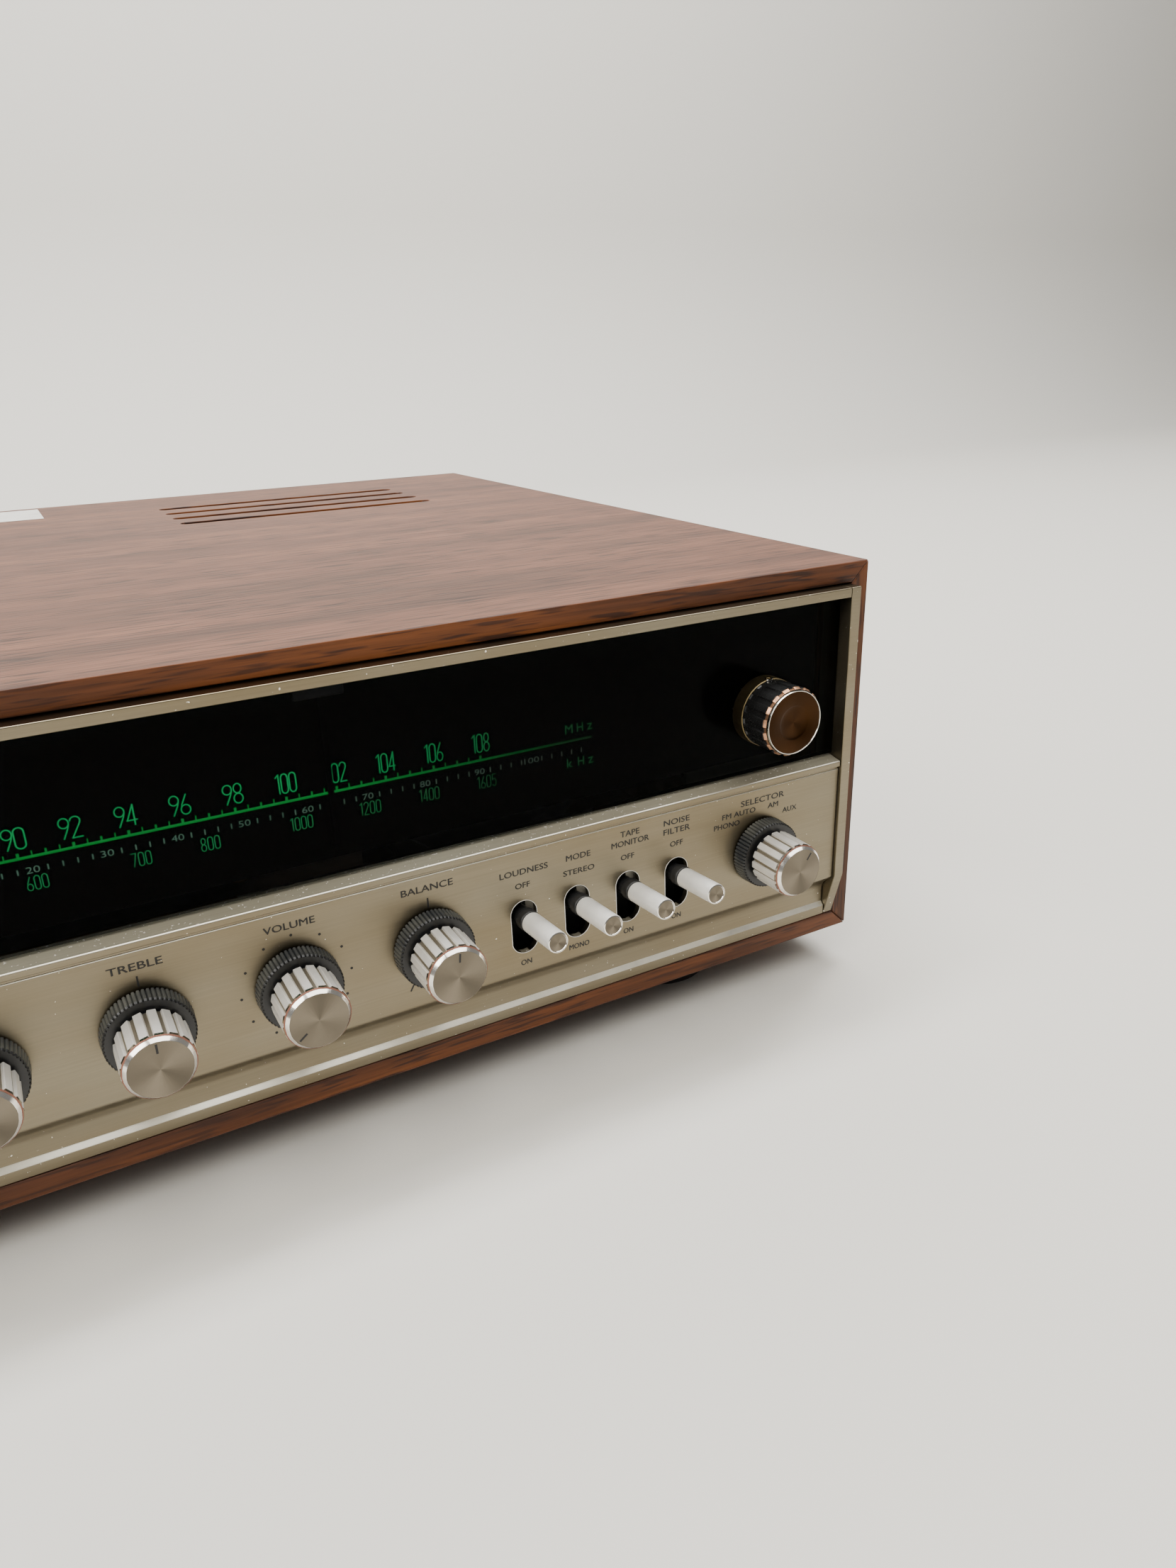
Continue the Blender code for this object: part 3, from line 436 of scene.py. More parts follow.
# %% Zinc plated steel
def zinc_plated_steel(name, code, roughness):
    """Bright zinc over rolled sheet: a faint cloudy spangle and fine rolling marks."""
    material, tree, shader = finish_of(name, code, roughness, 1.0)
    spangle = add(tree, "TexVoronoi", {"Vector": measured(tree, (6, 6, 6)), "Scale": 1})
    clouds = add(
        tree,
        "ValToRGB",
        {"Fac": spangle.outputs["Color"]},
        stops=[(0.2, linear(code)), (0.9, linear("B8B4A8"))],
    )
    tree.links.new(clouds.outputs["Color"], shader.inputs["Base Color"])
    rolling = add(
        tree, "TexNoise", {"Vector": measured(tree, (25, 0.7, 0.7)), "Scale": 1, "Detail": 4}
    )
    uneven = add(
        tree, "MapRange", {0: rolling.outputs["Fac"], 3: roughness - 0.08, 4: roughness + 0.12}
    )
    tree.links.new(uneven.outputs["Result"], shader.inputs["Roughness"])
    textured(tree, shader, rolling.outputs["Fac"], 0.02, 0.2)
    return material


zinc_steel = zinc_plated_steel("zinc_plated_steel", "A9A69B", 0.36)
print("zinc plate made")

# %% [markdown]
# ## Plastics, rubber, paint and print
# Moulded parts differ mostly in gloss and in the grain of their mould. A fine noise gives each a
# slightly uneven gloss and a shallow relief; the grain's size and depth are what tell a rubber
# foot from a polished window. Ink is a thin matt film on whatever it is printed on.


# %% Moulded, painted and printed surfaces
def moulded(name, code, roughness, grain_mm=0.8, depth_mm=0.02, lift="", **constants):
    """An even coloured surface with the grain of its mould or its paint."""
    material, tree, shader = finish_of(name, code, roughness, 0.0, **constants)
    grain = add(
        tree,
        "TexNoise",
        {"Vector": measured(tree, [grain_mm] * 3), "Scale": 1, "Detail": 3, "Roughness": 0.6},
    )
    uneven = add(
        tree, "MapRange", {0: grain.outputs["Fac"], 3: roughness - 0.05, 4: roughness + 0.08}
    )
    tree.links.new(uneven.outputs["Result"], shader.inputs["Roughness"])
    haze = add(
        tree, "TexNoise", {"Vector": measured(tree, [grain_mm * 12] * 3), "Scale": 1, "Detail": 3}
    )
    tint = add(
        tree,
        "ValToRGB",
        {"Fac": haze.outputs["Fac"]},
        stops=[(0.35, linear(code)), (0.8, linear(lift or code))],
    )
    tree.links.new(tint.outputs["Color"], shader.inputs["Base Color"])
    if depth_mm:
        textured(tree, shader, grain.outputs["Fac"], depth_mm, 0.4)
    return material


# Black parts of the knobs and levers: phenolic and nylon. The skirt's ribs are greyer with dust and a
# painted sheen; its face is painted a deeper black, as shade behind the cap.
skirt_ribs_dust_and_sheen = moulded("black_skirt_ribs_dust_and_painted_sheen", "2A2C2E", 0.34, 0.6, 0.02, "55554F")
skirt_face_painted_shade = moulded("black_moulded_skirt_face_painted_shade", "0E0E0F", 0.34, 0.6, 0.01, "17181A")
tuning_black = moulded("satin_black_knob_body", "101010", 0.26, 0.9, 0.01, "191919")
arm_black = moulded("black_nylon_arm", "0D0D0E", 0.46, 0.7, 0.02, "1B1B1C")
# Gloss black for the outlet, matt rubber for the feet.
gloss_black = moulded("gloss_black_abs", "060606", 0.16, 2.0, 0.004, "0B0B0B")
foot_rubber = moulded("moulded_black_rubber", "101010", 0.72, 0.5, 0.05, "1E1D1B")
# Dead black paint swallows the light behind the window; ink is a matt film.
dial_paint = moulded(
    "dial_black_paint", "020202", 0.85, 20.0, 0, "040404", Specular_IOR_Level=0.1
)
printed_black = moulded("black_silkscreen_ink", "100F0E", 0.55, 0.3, 0.01)
# Connections: brown black bakelite and coloured nylon.
bakelite = moulded("black_bakelite", "1C1411", 0.3, 1.5, 0.01, "2A1D17")
terminal_red = moulded("red_nylon", "8C1F18", 0.4, 1.0, 0.01, "9E2A20")
socket_white = moulded("white_nylon", "D9D4C7", 0.42, 1.0, 0.01, "CBC4B2")
# The meter's aged card and its enamelled needle.
meter_card = moulded("meter_scale_card", "D8CFAE", 0.6, 0.5, 0.01, "CFC39D")
needle_red = moulded("red_needle_enamel", "A81C12", 0.4, 1.0, 0.01)
# Inside: varnished iron, waxed paper, brown resin board, the sleeve of the ferrite rod.
varnished_core = moulded("varnished_laminations", "1A1A1C", 0.38, 0.5, 0.05, "2A2927")
coil_paper = moulded("waxed_coil_paper", "B98F45", 0.5, 1.4, 0.04, "A67C38")
board_resin = moulded("phenolic_board", "6E4A22", 0.48, 1.0, 0.02, "7C5628")
ferrite_sleeve = moulded("ferrite_rod_sleeve", "141414", 0.5, 0.6, 0.03, "202020")
# A label rubbed pale, and a dull black sheet behind the lever slots: painted shade that stands in for
# the dark inside.
paper_label = moulded("scuffed_paper_label", "C8C6C0", 0.5, 0.7, 0.02, "B4B2AC")
slot_shade_sheet = moulded("black_sheet_painted_shade", "060606", 0.8, 0.5, 0.02)
print("moulded finishes made")

# %% [markdown]
# ## The dial window and its light
# The window is smoked acrylic: clear, dark and highly polished, so it reflects the knob in front
# of it while the figures shine through. The figures are pale ink lit from behind by lamps at the
# left, so they are bright green there and fade to grey print at the far end. The fade is worked
# out from the place along the dial, never from where the eye is.

# %% Smoked acrylic
smoked_acrylic = finish_of(
    "smoked_acrylic", "A6A8AA", 0.02, Transmission_Weight=1.0, IOR=1.07
)[0]
print("smoked acrylic made")


# %% Lit figures
def lit_ink(name, glow, print_code, strength, bright_to, dark_from, floor_share):
    """Ink that glows up to bright_to and fades out by dark_from, both in mm from the middle."""
    material, tree, shader = finish_of(name, print_code, 0.6)
    where = add(tree, "TexCoord").outputs["Object"]
    across = add(tree, "SeparateXYZ", {"Vector": where}).outputs["X"]
    fade = add(
        tree,
        "MapRange",
        {0: across, 1: bright_to * MM, 2: dark_from * MM, 3: strength, 4: strength * floor_share},
        interpolation_type="SMOOTHSTEP",
    )
    lamps = add(
        tree, "TexNoise", {"Vector": measured(tree, (14, 14, 9)), "Scale": 1, "Detail": 2}
    )
    uneven = add(tree, "MapRange", {0: lamps.outputs["Fac"], 3: 0.75, 4: 1.2})
    light = add(
        tree,
        "Math",
        {0: fade.outputs["Result"], 1: uneven.outputs["Result"]},
        operation="MULTIPLY",
    )
    shader.inputs["Emission Color"].default_value = linear(glow)
    tree.links.new(light.outputs["Value"], shader.inputs["Emission Strength"])
    return material


# The line and figures of the FM band are brightest; the lower scales stay dimmer and greyer.
band_line = lit_ink("lit_band_line", "08A83C", "0C1810", 1.15, 30, 132, 0.06)
band_figures = lit_ink("lit_band_figures", "14B45C", "182820", 1.5, 30, 128, 0.16)
low_figures = lit_ink("lit_lower_figures", "1CA458", "1C2420", 1.15, 20, 118, 0.16)
scale_print = lit_ink("lit_scale_print", "6FA88C", "4A4A44", 0.7, 0, 118, 0.25)
print("dial inks made")

# %% [markdown]
# ## Making pieces
# New pieces start as an outline or a profile. A prism pushes an outline along an axis, a turned
# piece is a profile swept by a Screw modifier, and a fluted piece is a stack of rings. Soft
# edges come from a Bevel modifier. A piece made in its place keeps its stack live; a piece made
# at its own origin has the stack applied and then its place moved into the mesh.


# %% Helpers that make and place pieces
def new_object(name, mesh, materials):
    """An object for the mesh, linked to the scene, with its finishes in order."""
    for material in materials:
        mesh.materials.append(material)
    made = bpy.data.objects.new(name, mesh)
    bpy.context.scene.collection.objects.link(made)
    return made


def rounded(obj, width, segments=3, angle=30):
    """Rounds the edges sharper than the angle, in millimetres of width."""
    step = obj.modifiers.new("rounded edges", "BEVEL")
    step.width = width * MM
    step.segments = segments
    step.limit_method = "ANGLE"
    step.angle_limit = math.radians(angle)
    step.harden_normals = True
    return obj


def settled(obj, where=None, sharp=32):
    """Applies the stack, moves the mesh to its place and leaves the object at the origin."""
    graph = bpy.context.evaluated_depsgraph_get()
    mesh = bpy.data.meshes.new_from_object(
        obj.evaluated_get(graph), preserve_all_data_layers=True, depsgraph=graph
    )
    if where is not None:
        mesh.transform(where)
    name = obj.name
    bpy.data.objects.remove(obj)
    mesh.shade_smooth()
    mesh.set_sharp_from_angle(angle=math.radians(sharp))
    made = bpy.data.objects.new(name, mesh)
    bpy.context.scene.collection.objects.link(made)
    return made


def ride_as(obj, body, slot, *nodes):
    """The piece moves with the body and stands for the nodes; slot is not used."""
    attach(obj, body)
    if nodes:
        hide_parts(*nodes)
    return obj


def refinish(node, material):
    """Gives a working node that stays its real finish; its shape is left alone."""
    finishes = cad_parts[node].data.materials
    finishes.clear()
    finishes.append(material)


# %% Prisms, boxes and the direction of brushing
def prism(name, outline, axis, start, end, materials):
    """An outline in the plane across an axis, pushed from start to end, all in millimetres."""
    bm = bmesh.new()
    first, second = [n for n in range(3) if n != axis]
    corners = []
    for a, b in outline:
        point = [0, 0, 0]
        point[axis], point[first], point[second] = start, a, b
        corners.append(bm.verts.new(place(*point)))
    face = bm.faces.new(corners)
    pushed = bmesh.ops.extrude_face_region(bm, geom=[face])["geom"]
    travel = Vector((0, 0, 0))
    travel[axis] = (end - start) * MM
    moved = [item for item in pushed if isinstance(item, bmesh.types.BMVert)]
    bmesh.ops.translate(bm, verts=moved, vec=travel)
    bmesh.ops.recalc_face_normals(bm, faces=bm.faces)
    mesh = bpy.data.meshes.new(name)
    bm.to_mesh(mesh)
    bm.free()
    mesh.shade_smooth()
    brush_along_x(mesh)
    return new_object(name, mesh, materials)


def box(name, low, high, materials):
    """A block between two corners, for its edges to be rounded."""
    outline = [(low[0], low[2]), (high[0], low[2]), (high[0], high[2]), (low[0], high[2])]
    return prism(name, outline, 1, low[1], high[1], materials)


def brush_along_x(mesh):
    """A UV map whose first direction runs along X, for metal brushed along its length."""
    layer = mesh.uv_layers.new(name="brushing")
    for loop in mesh.loops:
        spot = mesh.vertices[loop.vertex_index].co
        layer.data[loop.index].uv = (spot.x * 10, (spot.z + spot.y) * 10)


def cut_out(obj, *cutters):
    """Takes the cutters out of the piece, applies the result and removes the cutters."""
    for cutter in cutters:
        step = obj.modifiers.new("cut out", "BOOLEAN")
        step.operation = "DIFFERENCE"
        step.solver = "EXACT"
        step.object = cutter
    done = settled(obj)
    for cutter in cutters:
        bpy.data.objects.remove(cutter)
    return done


# %% Turned pieces
FACING = Matrix.Rotation(math.pi / 2, 4, "X")
BACKING = Matrix.Rotation(-math.pi / 2, 4, "X")


def in_front(x, z, y=0.0):
    """Turns a piece's own Z towards the front and puts its origin at x, z."""
    return Matrix.Translation(place(x, y, z)) @ FACING


def turned(name, profile, materials, steps=48, edge=0.0):
    """A profile of (radius, height) points, from the top down the outer side, swept round Z."""
    mesh = bpy.data.meshes.new(name)
    points = [(radius * MM, 0, height * MM) for radius, height in profile]
    mesh.from_pydata(points, [(n, n + 1) for n in range(len(points) - 1)], [])
    made = new_object(name, mesh, materials)
    screw = made.modifiers.new("turning", "SCREW")
    screw.steps = screw.render_steps = steps
    screw.use_merge_vertices = True
    screw.merge_threshold = 1e-6
    if edge:
        rounded(made, edge, 2, 25)
    return made


def polar_brushing(mesh):
    """A UV map whose first direction runs round the piece's own Z, as a lathe cuts it."""
    layer = mesh.uv_layers.get("brushing") or mesh.uv_layers.new(name="brushing")
    for face in mesh.polygons:
        base = math.atan2(face.center.y, face.center.x)
        for index in face.loop_indices:
            spot = mesh.vertices[mesh.loops[index].vertex_index].co
            reach = math.hypot(spot.x, spot.y)
            turn = base if reach < 1e-6 else math.atan2(spot.y, spot.x)
            turn += math.tau * round((base - turn) / math.tau)
            layer.data[index].uv = (turn * 2, (reach + spot.z) * 300)


def finish_faces(mesh, choose):
    """Gives each face the material number that choose(face) returns."""
    for face in mesh.polygons:
        face.material_index = choose(face)


# %% Fluted pieces
def fluted_ring(radius, height, count, shape, depth):
    """Points round one ring; shape gives (share of a pitch, share of the depth) for a flute."""
    points = []
    for n in range(count):
        for share, sunk in shape:
            turn = math.tau * (n + share) / count
            reach = radius - sunk * depth
            points.append((reach * math.sin(turn), reach * math.cos(turn), height))
    return points


def stacked(name, rings, materials):
    """Joins rings of (points, material number) and closes both ends at the axis."""
    bm = bmesh.new()
    rows = []
    for points, _ in rings:
        rows.append([bm.verts.new(Vector(point) * MM) for point in points])
    ends = [bm.verts.new((0, 0, rings[n][0][0][2] * MM)) for n in (0, -1)]
    count = len(rows[0])
    for n in range(count):
        m = (n + 1) % count
        bm.faces.new((ends[0], rows[0][m], rows[0][n])).material_index = rings[0][1]
        bm.faces.new((ends[1], rows[-1][n], rows[-1][m])).material_index = rings[-1][1]
        for lower, upper, ring in zip(rows, rows[1:], rings[1:]):
            bm.faces.new((lower[n], lower[m], upper[m], upper[n])).material_index = ring[1]
    bmesh.ops.recalc_face_normals(bm, faces=bm.faces)
    mesh = bpy.data.meshes.new(name)
    bm.to_mesh(mesh)
    bm.free()
    polar_brushing(mesh)
    return new_object(name, mesh, materials)


print("tools ready")

# %% [markdown]
# ## The sleeve
# Four boards meet in mitres, as a wrapped sleeve is folded. Each is a prism with 45 degree ends;
# a Bevel softens the outer edges by half a millimetre. The vents are routed through the top with
# a round nosed cutter, so the slots have round ends and an eased rim. The front edges carry a
# warmer banding, so the faces that look forward get their own finish.

# %% Boards of the sleeve
RIGHT, TOP = span("cabinet_right_side")[1].x, span("cabinet_top")[1].z
LOW = span("cabinet_bottom")[0].z
DEPTH = span("cabinet_top")[1].y
BOARD = TOP - span("cabinet_top")[0].z
MITRE = 0.06
CENTRE_Z = (TOP + LOW) / 2


def mitred(half_width, half_height, upright_board):
    """Outline of a board on the far side of the sleeve, with both ends cut at 45 degrees."""
    outer, inner = (half_width, half_height), (half_width - BOARD, half_height - BOARD)
    across = outer[1] - MITRE, inner[1] - MITRE
    if upright_board:
        return [
            (outer[0], CENTRE_Z + across[0]),
            (outer[0], CENTRE_Z - across[0]),
            (inner[0], CENTRE_Z - across[1]),
            (inner[0], CENTRE_Z + across[1]),
        ]
    return [
        (-outer[0] + MITRE, CENTRE_Z + outer[1]),
        (outer[0] - MITRE, CENTRE_Z + outer[1]),
        (inner[0] - MITRE, CENTRE_Z + inner[1]),
        (-inner[0] + MITRE, CENTRE_Z + inner[1]),
    ]


level_outline = mitred(RIGHT, TOP - CENTRE_Z, False)
side_outline = mitred(RIGHT, TOP - CENTRE_Z, True)
BOARDS = {
    "cabinet_top": (level_outline, walnut_across, walnut_edge),
    "cabinet_bottom": ([(x, 2 * CENTRE_Z - z) for x, z in level_outline], walnut_across, walnut_edge),
    "cabinet_right_side": (side_outline, walnut_upright, walnut_edge_side_painted_shade),
    "cabinet_left_side": ([(-x, z) for x, z in side_outline], walnut_upright, walnut_edge_side_painted_shade),
}


def obround(centre, half_long, half_wide, upright_slot, arc=10):
    """Outline of a slot with round ends."""
    reach = half_long - half_wide
    points = []
    for end in (1, -1):
        for n in range(arc + 1):
            turn = math.pi * (n / arc - 0.5) + (0 if end > 0 else math.pi)
            along = end * reach + half_wide * math.cos(turn)
            side = half_wide * math.sin(turn)
            step = (side, along) if upright_slot else (along, side)
            points.append((centre[0] + step[0], centre[1] + step[1]))
    return points


VENT_X, VENT_FIRST, VENT_PITCH, VENT_COUNT = 112.0, 215.5, 16.5, 4
VENT_HALF, VENT_RADIUS = 51.5, 3.0
for name, (outline, wood, banding) in BOARDS.items():
    board = prism(f"{name}_board", outline, 1, 0, DEPTH, [wood, banding])
    if name == "cabinet_top":
        slots = []
        for side in (-1, 1):
            for n in range(VENT_COUNT):
                spot = (side * VENT_X, VENT_FIRST + n * VENT_PITCH)
                slot_outline = obround(spot, VENT_HALF, VENT_RADIUS, False)
                slots.append(prism("vent_cutter", slot_outline, 2, TOP - 2 * BOARD, TOP + BOARD, []))
        board = cut_out(board, *slots)
    finish_faces(board.data, lambda face: 1 if face.normal.y < -0.9 else 0)
    rounded(board, 0.55, 3, 40)
    ride_as(board, "receiver", "walnut_veneer", name)
print("sleeve boards:", len(BOARDS))

# %% [markdown]
# ## Feet and label
# The feet are turned rubber pads, each held by a screw up its middle, with a rounded tread. A
# Screw modifier sweeps half of the section. A blank paper label lies at the back of the top.


# %% Feet
def rubber_foot(node):
    low, high = span(node)
    centre = (low + high) / 2
    radius, height = (high.x - low.x) / 2, high.z
    recess = 5.5
    profile = [
        (0, height),
        (radius, height),
        (radius, height * 0.55),
        (radius - 1.6, 0.7),
        (radius - 2.6, 0),
        (recess + 1.0, 0),
        (recess, 0.8),
        (recess, height * 0.6),
        (0, height * 0.6),
    ]
    foot = turned(f"{node}_pad", profile, [foot_rubber], 48, 0.5)
    spot = Matrix.Translation(place(centre.x, centre.y, 0))
    ride_as(settled(foot, spot), "receiver", "foot_rubber", node)
    head = [(0, 7.4), (3.6, 7.4), (3.6, 5.6), (2.4, 4.6), (0, 4.6)]
    screw = turned(f"{node}_screw", head, [zinc_steel], 24, 0.2)
    ride_as(settled(screw, spot), "receiver", "zinc_steel")


for name in ("foot_front_left", "foot_front_right", "foot_rear_left", "foot_rear_right"):
    rubber_foot(name)
label = box("blank_label", (-44, 270, TOP + 0.01), (16, 304, TOP + 0.16), [paper_label])
ride_as(rounded(label, 0.05, 2), "receiver", "walnut_veneer")

# %% [markdown]
# ## Metal trim
# Two end caps and a top rail frame the window; below it one extrusion makes the ledge, a groove,
# the main face, a hollow curve and the lower lip. An extrusion is a profile pushed along X, so
# the panel is a prism of that profile. Its small radii catch the bright lines that run the whole
# width, so they are real arcs in the profile and not a trick of the shading.

# %% End caps and rail
CAP_LOW, CAP_HIGH = span("right_end_cap")
CAP_BEND = 34.6
CAP_PROFILE = [
    (CAP_LOW.y, CAP_HIGH.z),
    (CAP_LOW.y, CAP_BEND),
    (0, CAP_LOW.z),
    (CAP_HIGH.y, CAP_LOW.z),
    (CAP_HIGH.y, CAP_HIGH.z),
]
for side, name in ((1, "right_end_cap"), (-1, "left_end_cap")):
    ends = sorted((side * CAP_LOW.x, side * CAP_HIGH.x))
    cap = prism(f"{name}_trim", CAP_PROFILE, 0, ends[0], ends[1], [champagne])
    ride_as(rounded(cap, 0.32, 3), "receiver", "champagne_aluminium", name)
RAIL_LOW, RAIL_HIGH = span("top_rail")
rail = box("top_rail_trim", RAIL_LOW, RAIL_HIGH, [champagne])
ride_as(rounded(rail, 0.32, 3), "receiver", "champagne_aluminium", "top_rail")
print("end caps and rail made")

# %% The control panel's profile
PANEL_LOW, PANEL_HIGH = span("control_panel")
PANEL_FACE = -3.2
GLASS_BACK = 3.0


def filleted(corners):
    """A profile whose (y, z, radius) corners are rounded where a radius is given."""
    points = []
    for n, (y, z, radius) in enumerate(corners):
        here = Vector((y, z))
        if not radius:
            points.append(here)
            continue
        before = (Vector(corners[n - 1][:2]) - here).normalized()
        after = (Vector(corners[(n + 1) % len(corners)][:2]) - here).normalized()
        half = before.angle(after) / 2
        trim = radius / math.tan(half)
        centre = here + (before + after).normalized() * radius / math.sin(half)
        start, end = here + before * trim - centre, here + after * trim - centre
        sweep = start.angle_signed(end)
        steps = 5
        for k in range(steps + 1):
            turn = sweep * k / steps
            cos, sin = math.cos(turn), -math.sin(turn)
            points.append(
                centre + Vector((start.x * cos - start.y * sin, start.x * sin + start.y * cos))
            )
    return [(point.x, point.y) for point in points]


panel_face = filleted(
    [
        (GLASS_BACK, PANEL_HIGH.z, 0),
        (-3.9, 73.6, 0.45),
        (-3.9, 71.75, 0.3),
        (-2.9, 71.75, 0.1),
        (-2.9, 70.95, 0.1),
        (PANEL_FACE - 0.1, 70.95, 0.35),
        (PANEL_FACE, 69.5, 0.5),
        (PANEL_FACE, 33.9, 1.2),
        (1.0, 29.9, 4.0),
        (1.0, 23.55, 0.3),
        (-0.1, 22.3, 0.25),
        (-0.1, PANEL_LOW.z, 0.3),
        (2.1, PANEL_LOW.z, 0),
        (2.1, 21.6, 0),
        (3.0, 23.0, 0),
        (3.0, 28.4, 0),
        (1.6, 31.6, 0),
        (PANEL_FACE + 2, 34.6, 0),
        (PANEL_FACE + 2, 69.6, 0),
        (GLASS_BACK, 71.8, 0),
    ]
)
print("panel profile points:", len(panel_face))


# %% Control panel with its holes
def panel_finish(face):
    """Dust lies on what faces up; edges that face up and forward were cut bright."""
    if face.normal.z > 0.9:
        return 1
    return 2 if 0.35 < face.normal.z and face.normal.y < -0.2 else 0


KNOB_Z, LEVER_Z = middle("volume_shaft").z, 48.3
PHONES = middle("headphone_jack")
SLOT_HALF, SLOT_RADIUS = 7.95, 3.9
lever_x = {name: middle(f"{name}_arm").x for name in LEVERS}
knob_x = {name: middle(f"{name}_shaft").x for name in KNOBS}
PANEL_FINISH = [champagne, dusty_ledge, bright_cut]
panel = prism("control_panel_extrusion", panel_face, 0, PANEL_LOW.x, PANEL_HIGH.x, PANEL_FINISH)
holes = []
for x in lever_x.values():
    outline = obround((x, LEVER_Z), SLOT_HALF, SLOT_RADIUS, True)
    holes.append(prism("slot_cutter", outline, 1, -12, 12, []))
for x in knob_x.values():
    holes.append(prism("shaft_cutter", circle(x, KNOB_Z, 4.2, 24), 1, -12, 12, []))
holes.append(prism("jack_cutter", circle(PHONES.x, KNOB_Z, 5.1, 32), 1, -12, 12, []))
panel = cut_out(panel, *holes)
finish_faces(panel.data, panel_finish)
ride_as(panel, "receiver", "champagne_aluminium", "control_panel")
print("holes in the panel:", len(holes))


# %% Bright rims of the lever slots
def wire_loop(name, outline, y, radius, material):
    """A thin closed wire along an outline in the plane of the front."""
    curve = bpy.data.curves.new(name, "CURVE")
    curve.dimensions = "3D"
    curve.bevel_depth = radius * MM
    curve.bevel_resolution = 2
    line = curve.splines.new("POLY")
    line.points.add(len(outline) - 1)
    for point, (x, z) in zip(line.points, outline):
        point.co = (*place(x, y, z), 1)
    line.use_cyclic_u = True
    made = bpy.data.objects.new(name, curve)
    bpy.context.scene.collection.objects.link(made)
    made.data.materials.append(material)
    return settled(made)


for name, x in lever_x.items():
    outline = obround((x, LEVER_Z), SLOT_HALF, SLOT_RADIUS, True, 16)
    rim = wire_loop(f"{name}_slot_rim", outline[:-1], PANEL_FACE + 0.02, 0.09, satin_land)
    ride_as(rim, "receiver", "bright_aluminium")
print("slot rims:", len(lever_x))

# %% [markdown]
# ## Lettering
# The words on the panel are plain function names in black silkscreen. A text object could stay
# live, but a piece's place has to be in its mesh, so each word becomes a mesh first, is then
# scaled to its measured width and capital height, and all of them are joined into one film of
# ink. The built-in typeface is thinner than the print, so each word is struck twice, a hair
# apart. The scale marks are thin bars and round dots set out by angle round each knob.


# %% Words as a film of ink
INK = 0.03


def word_mesh(text, left, right, baseline, height, y):
    """A word whose letters fill the given box, standing in the plane of the front."""
    curve = bpy.data.curves.new("word", "FONT")
    curve.body = text
    curve.resolution_u = 3
    curve.extrude = 0.01
    draft = bpy.data.objects.new("word", curve)
    bpy.context.scene.collection.objects.link(draft)
    graph = bpy.context.evaluated_depsgraph_get()
    mesh = bpy.data.meshes.new_from_object(draft.evaluated_get(graph))
    bpy.data.objects.remove(draft)
    xs = [v.co.x for v in mesh.vertices]
    ys = [v.co.y for v in mesh.vertices]
    wide, tall = max(xs) - min(xs), max(ys) - min(ys)
    fit = Matrix.Diagonal(((right - left) / wide, height / tall, INK / 0.02, 1))
    shift = Matrix.Translation((-min(xs), -min(ys), 0))
    mesh.transform(Matrix.Translation(place(left, y, baseline)) @ FACING
                   @ Matrix.Scale(MM, 4) @ fit @ shift)
    return mesh


def joined(name, meshes, materials):
    """Several meshes as one object."""
    bm = bmesh.new()
    for mesh in meshes:
        bm.from_mesh(mesh)
        bpy.data.meshes.remove(mesh)
    whole = bpy.data.meshes.new(name)
    bm.to_mesh(whole)
    bm.free()
    return new_object(name, whole, materials)


def plate_mesh(outline, y, thickness=INK):
    """A thin flat shape in the plane of the front."""
    bm = bmesh.new()
    face = bm.faces.new([bm.verts.new(place(x, y, z)) for x, z in outline])
    pushed = bmesh.ops.extrude_face_region(bm, geom=[face])["geom"]
    moved = [item for item in pushed if isinstance(item, bmesh.types.BMVert)]
    bmesh.ops.translate(bm, verts=moved, vec=Vector((0, -thickness * MM, 0)))
    bmesh.ops.recalc_face_normals(bm, faces=bm.faces)
    mesh = bpy.data.meshes.new("plate")
    bm.to_mesh(mesh)
    bm.free()
    return mesh


def bar(x, z, angle, near, far, width):
    """Outline of a straight mark at an angle clockwise from straight up."""
    out = Vector((math.sin(angle), math.cos(angle)))
    side = Vector((out.y, -out.x)) * width / 2
    centre = Vector((x, z))
    ends = (centre + out * near, centre + out * far)
    return [ends[0] - side, ends[0] + side, ends[1] + side, ends[1] - side]


# %% Words and marks on the control panel
FACE = PANEL_FACE + INK / 2 - 0.02
STRIKE = 0.065
# Each word with its left, right and bottom edges and its height.
WORDS = [
    ("VOLUME", 29.6, 41.9, 66.2, 1.85),
    ("BALANCE", 63.8, 77.7, 66.5, 1.85),
    ("TREBLE", -4.9, 6.9, 66.2, 1.85),
    ("BASS", -37.8, -29.8, 66.2, 1.85),
    ("SPEAKERS", -184.6, -168.2, 66.4, 1.85),
    ("PHONES", -110.6, -99.4, 64.4, 1.7),
    ("LOUDNESS", 90.7, 104.8, 64.0, 1.7),
    ("MODE", 110.4, 117.9, 64.2, 1.7),
    ("TAPE", 127.5, 133.6, 67.0, 1.7),
    ("MONITOR", 124.6, 136.7, 64.2, 1.7),
    ("NOISE", 141.7, 150.4, 66.9, 1.7),
    ("FILTER", 141.6, 150.5, 64.1, 1.7),
    ("SELECTOR", 168.5, 184.3, 66.55, 1.8),
    ("PHONO", 159.0, 168.1, 61.1, 1.6),
    ("FM AUTO", 161.9, 173.8, 63.9, 1.6),
    ("AM", 178.4, 182.2, 63.9, 1.6),
    ("AUX", 184.0, 189.3, 61.2, 1.6),
    ("OFF", -190.6, -186.4, 61.4, 1.6),
    ("A", -180.2, -178.8, 63.9, 1.6),
    ("B", -174.0, -172.7, 63.9, 1.6),
    ("A+B", -168.4, -164.2, 61.4, 1.6),
    ("STEREO", 109.4, 119.0, 59.9, 1.6),
    ("MONO", 110.4, 116.7, 36.8, 1.6),
]
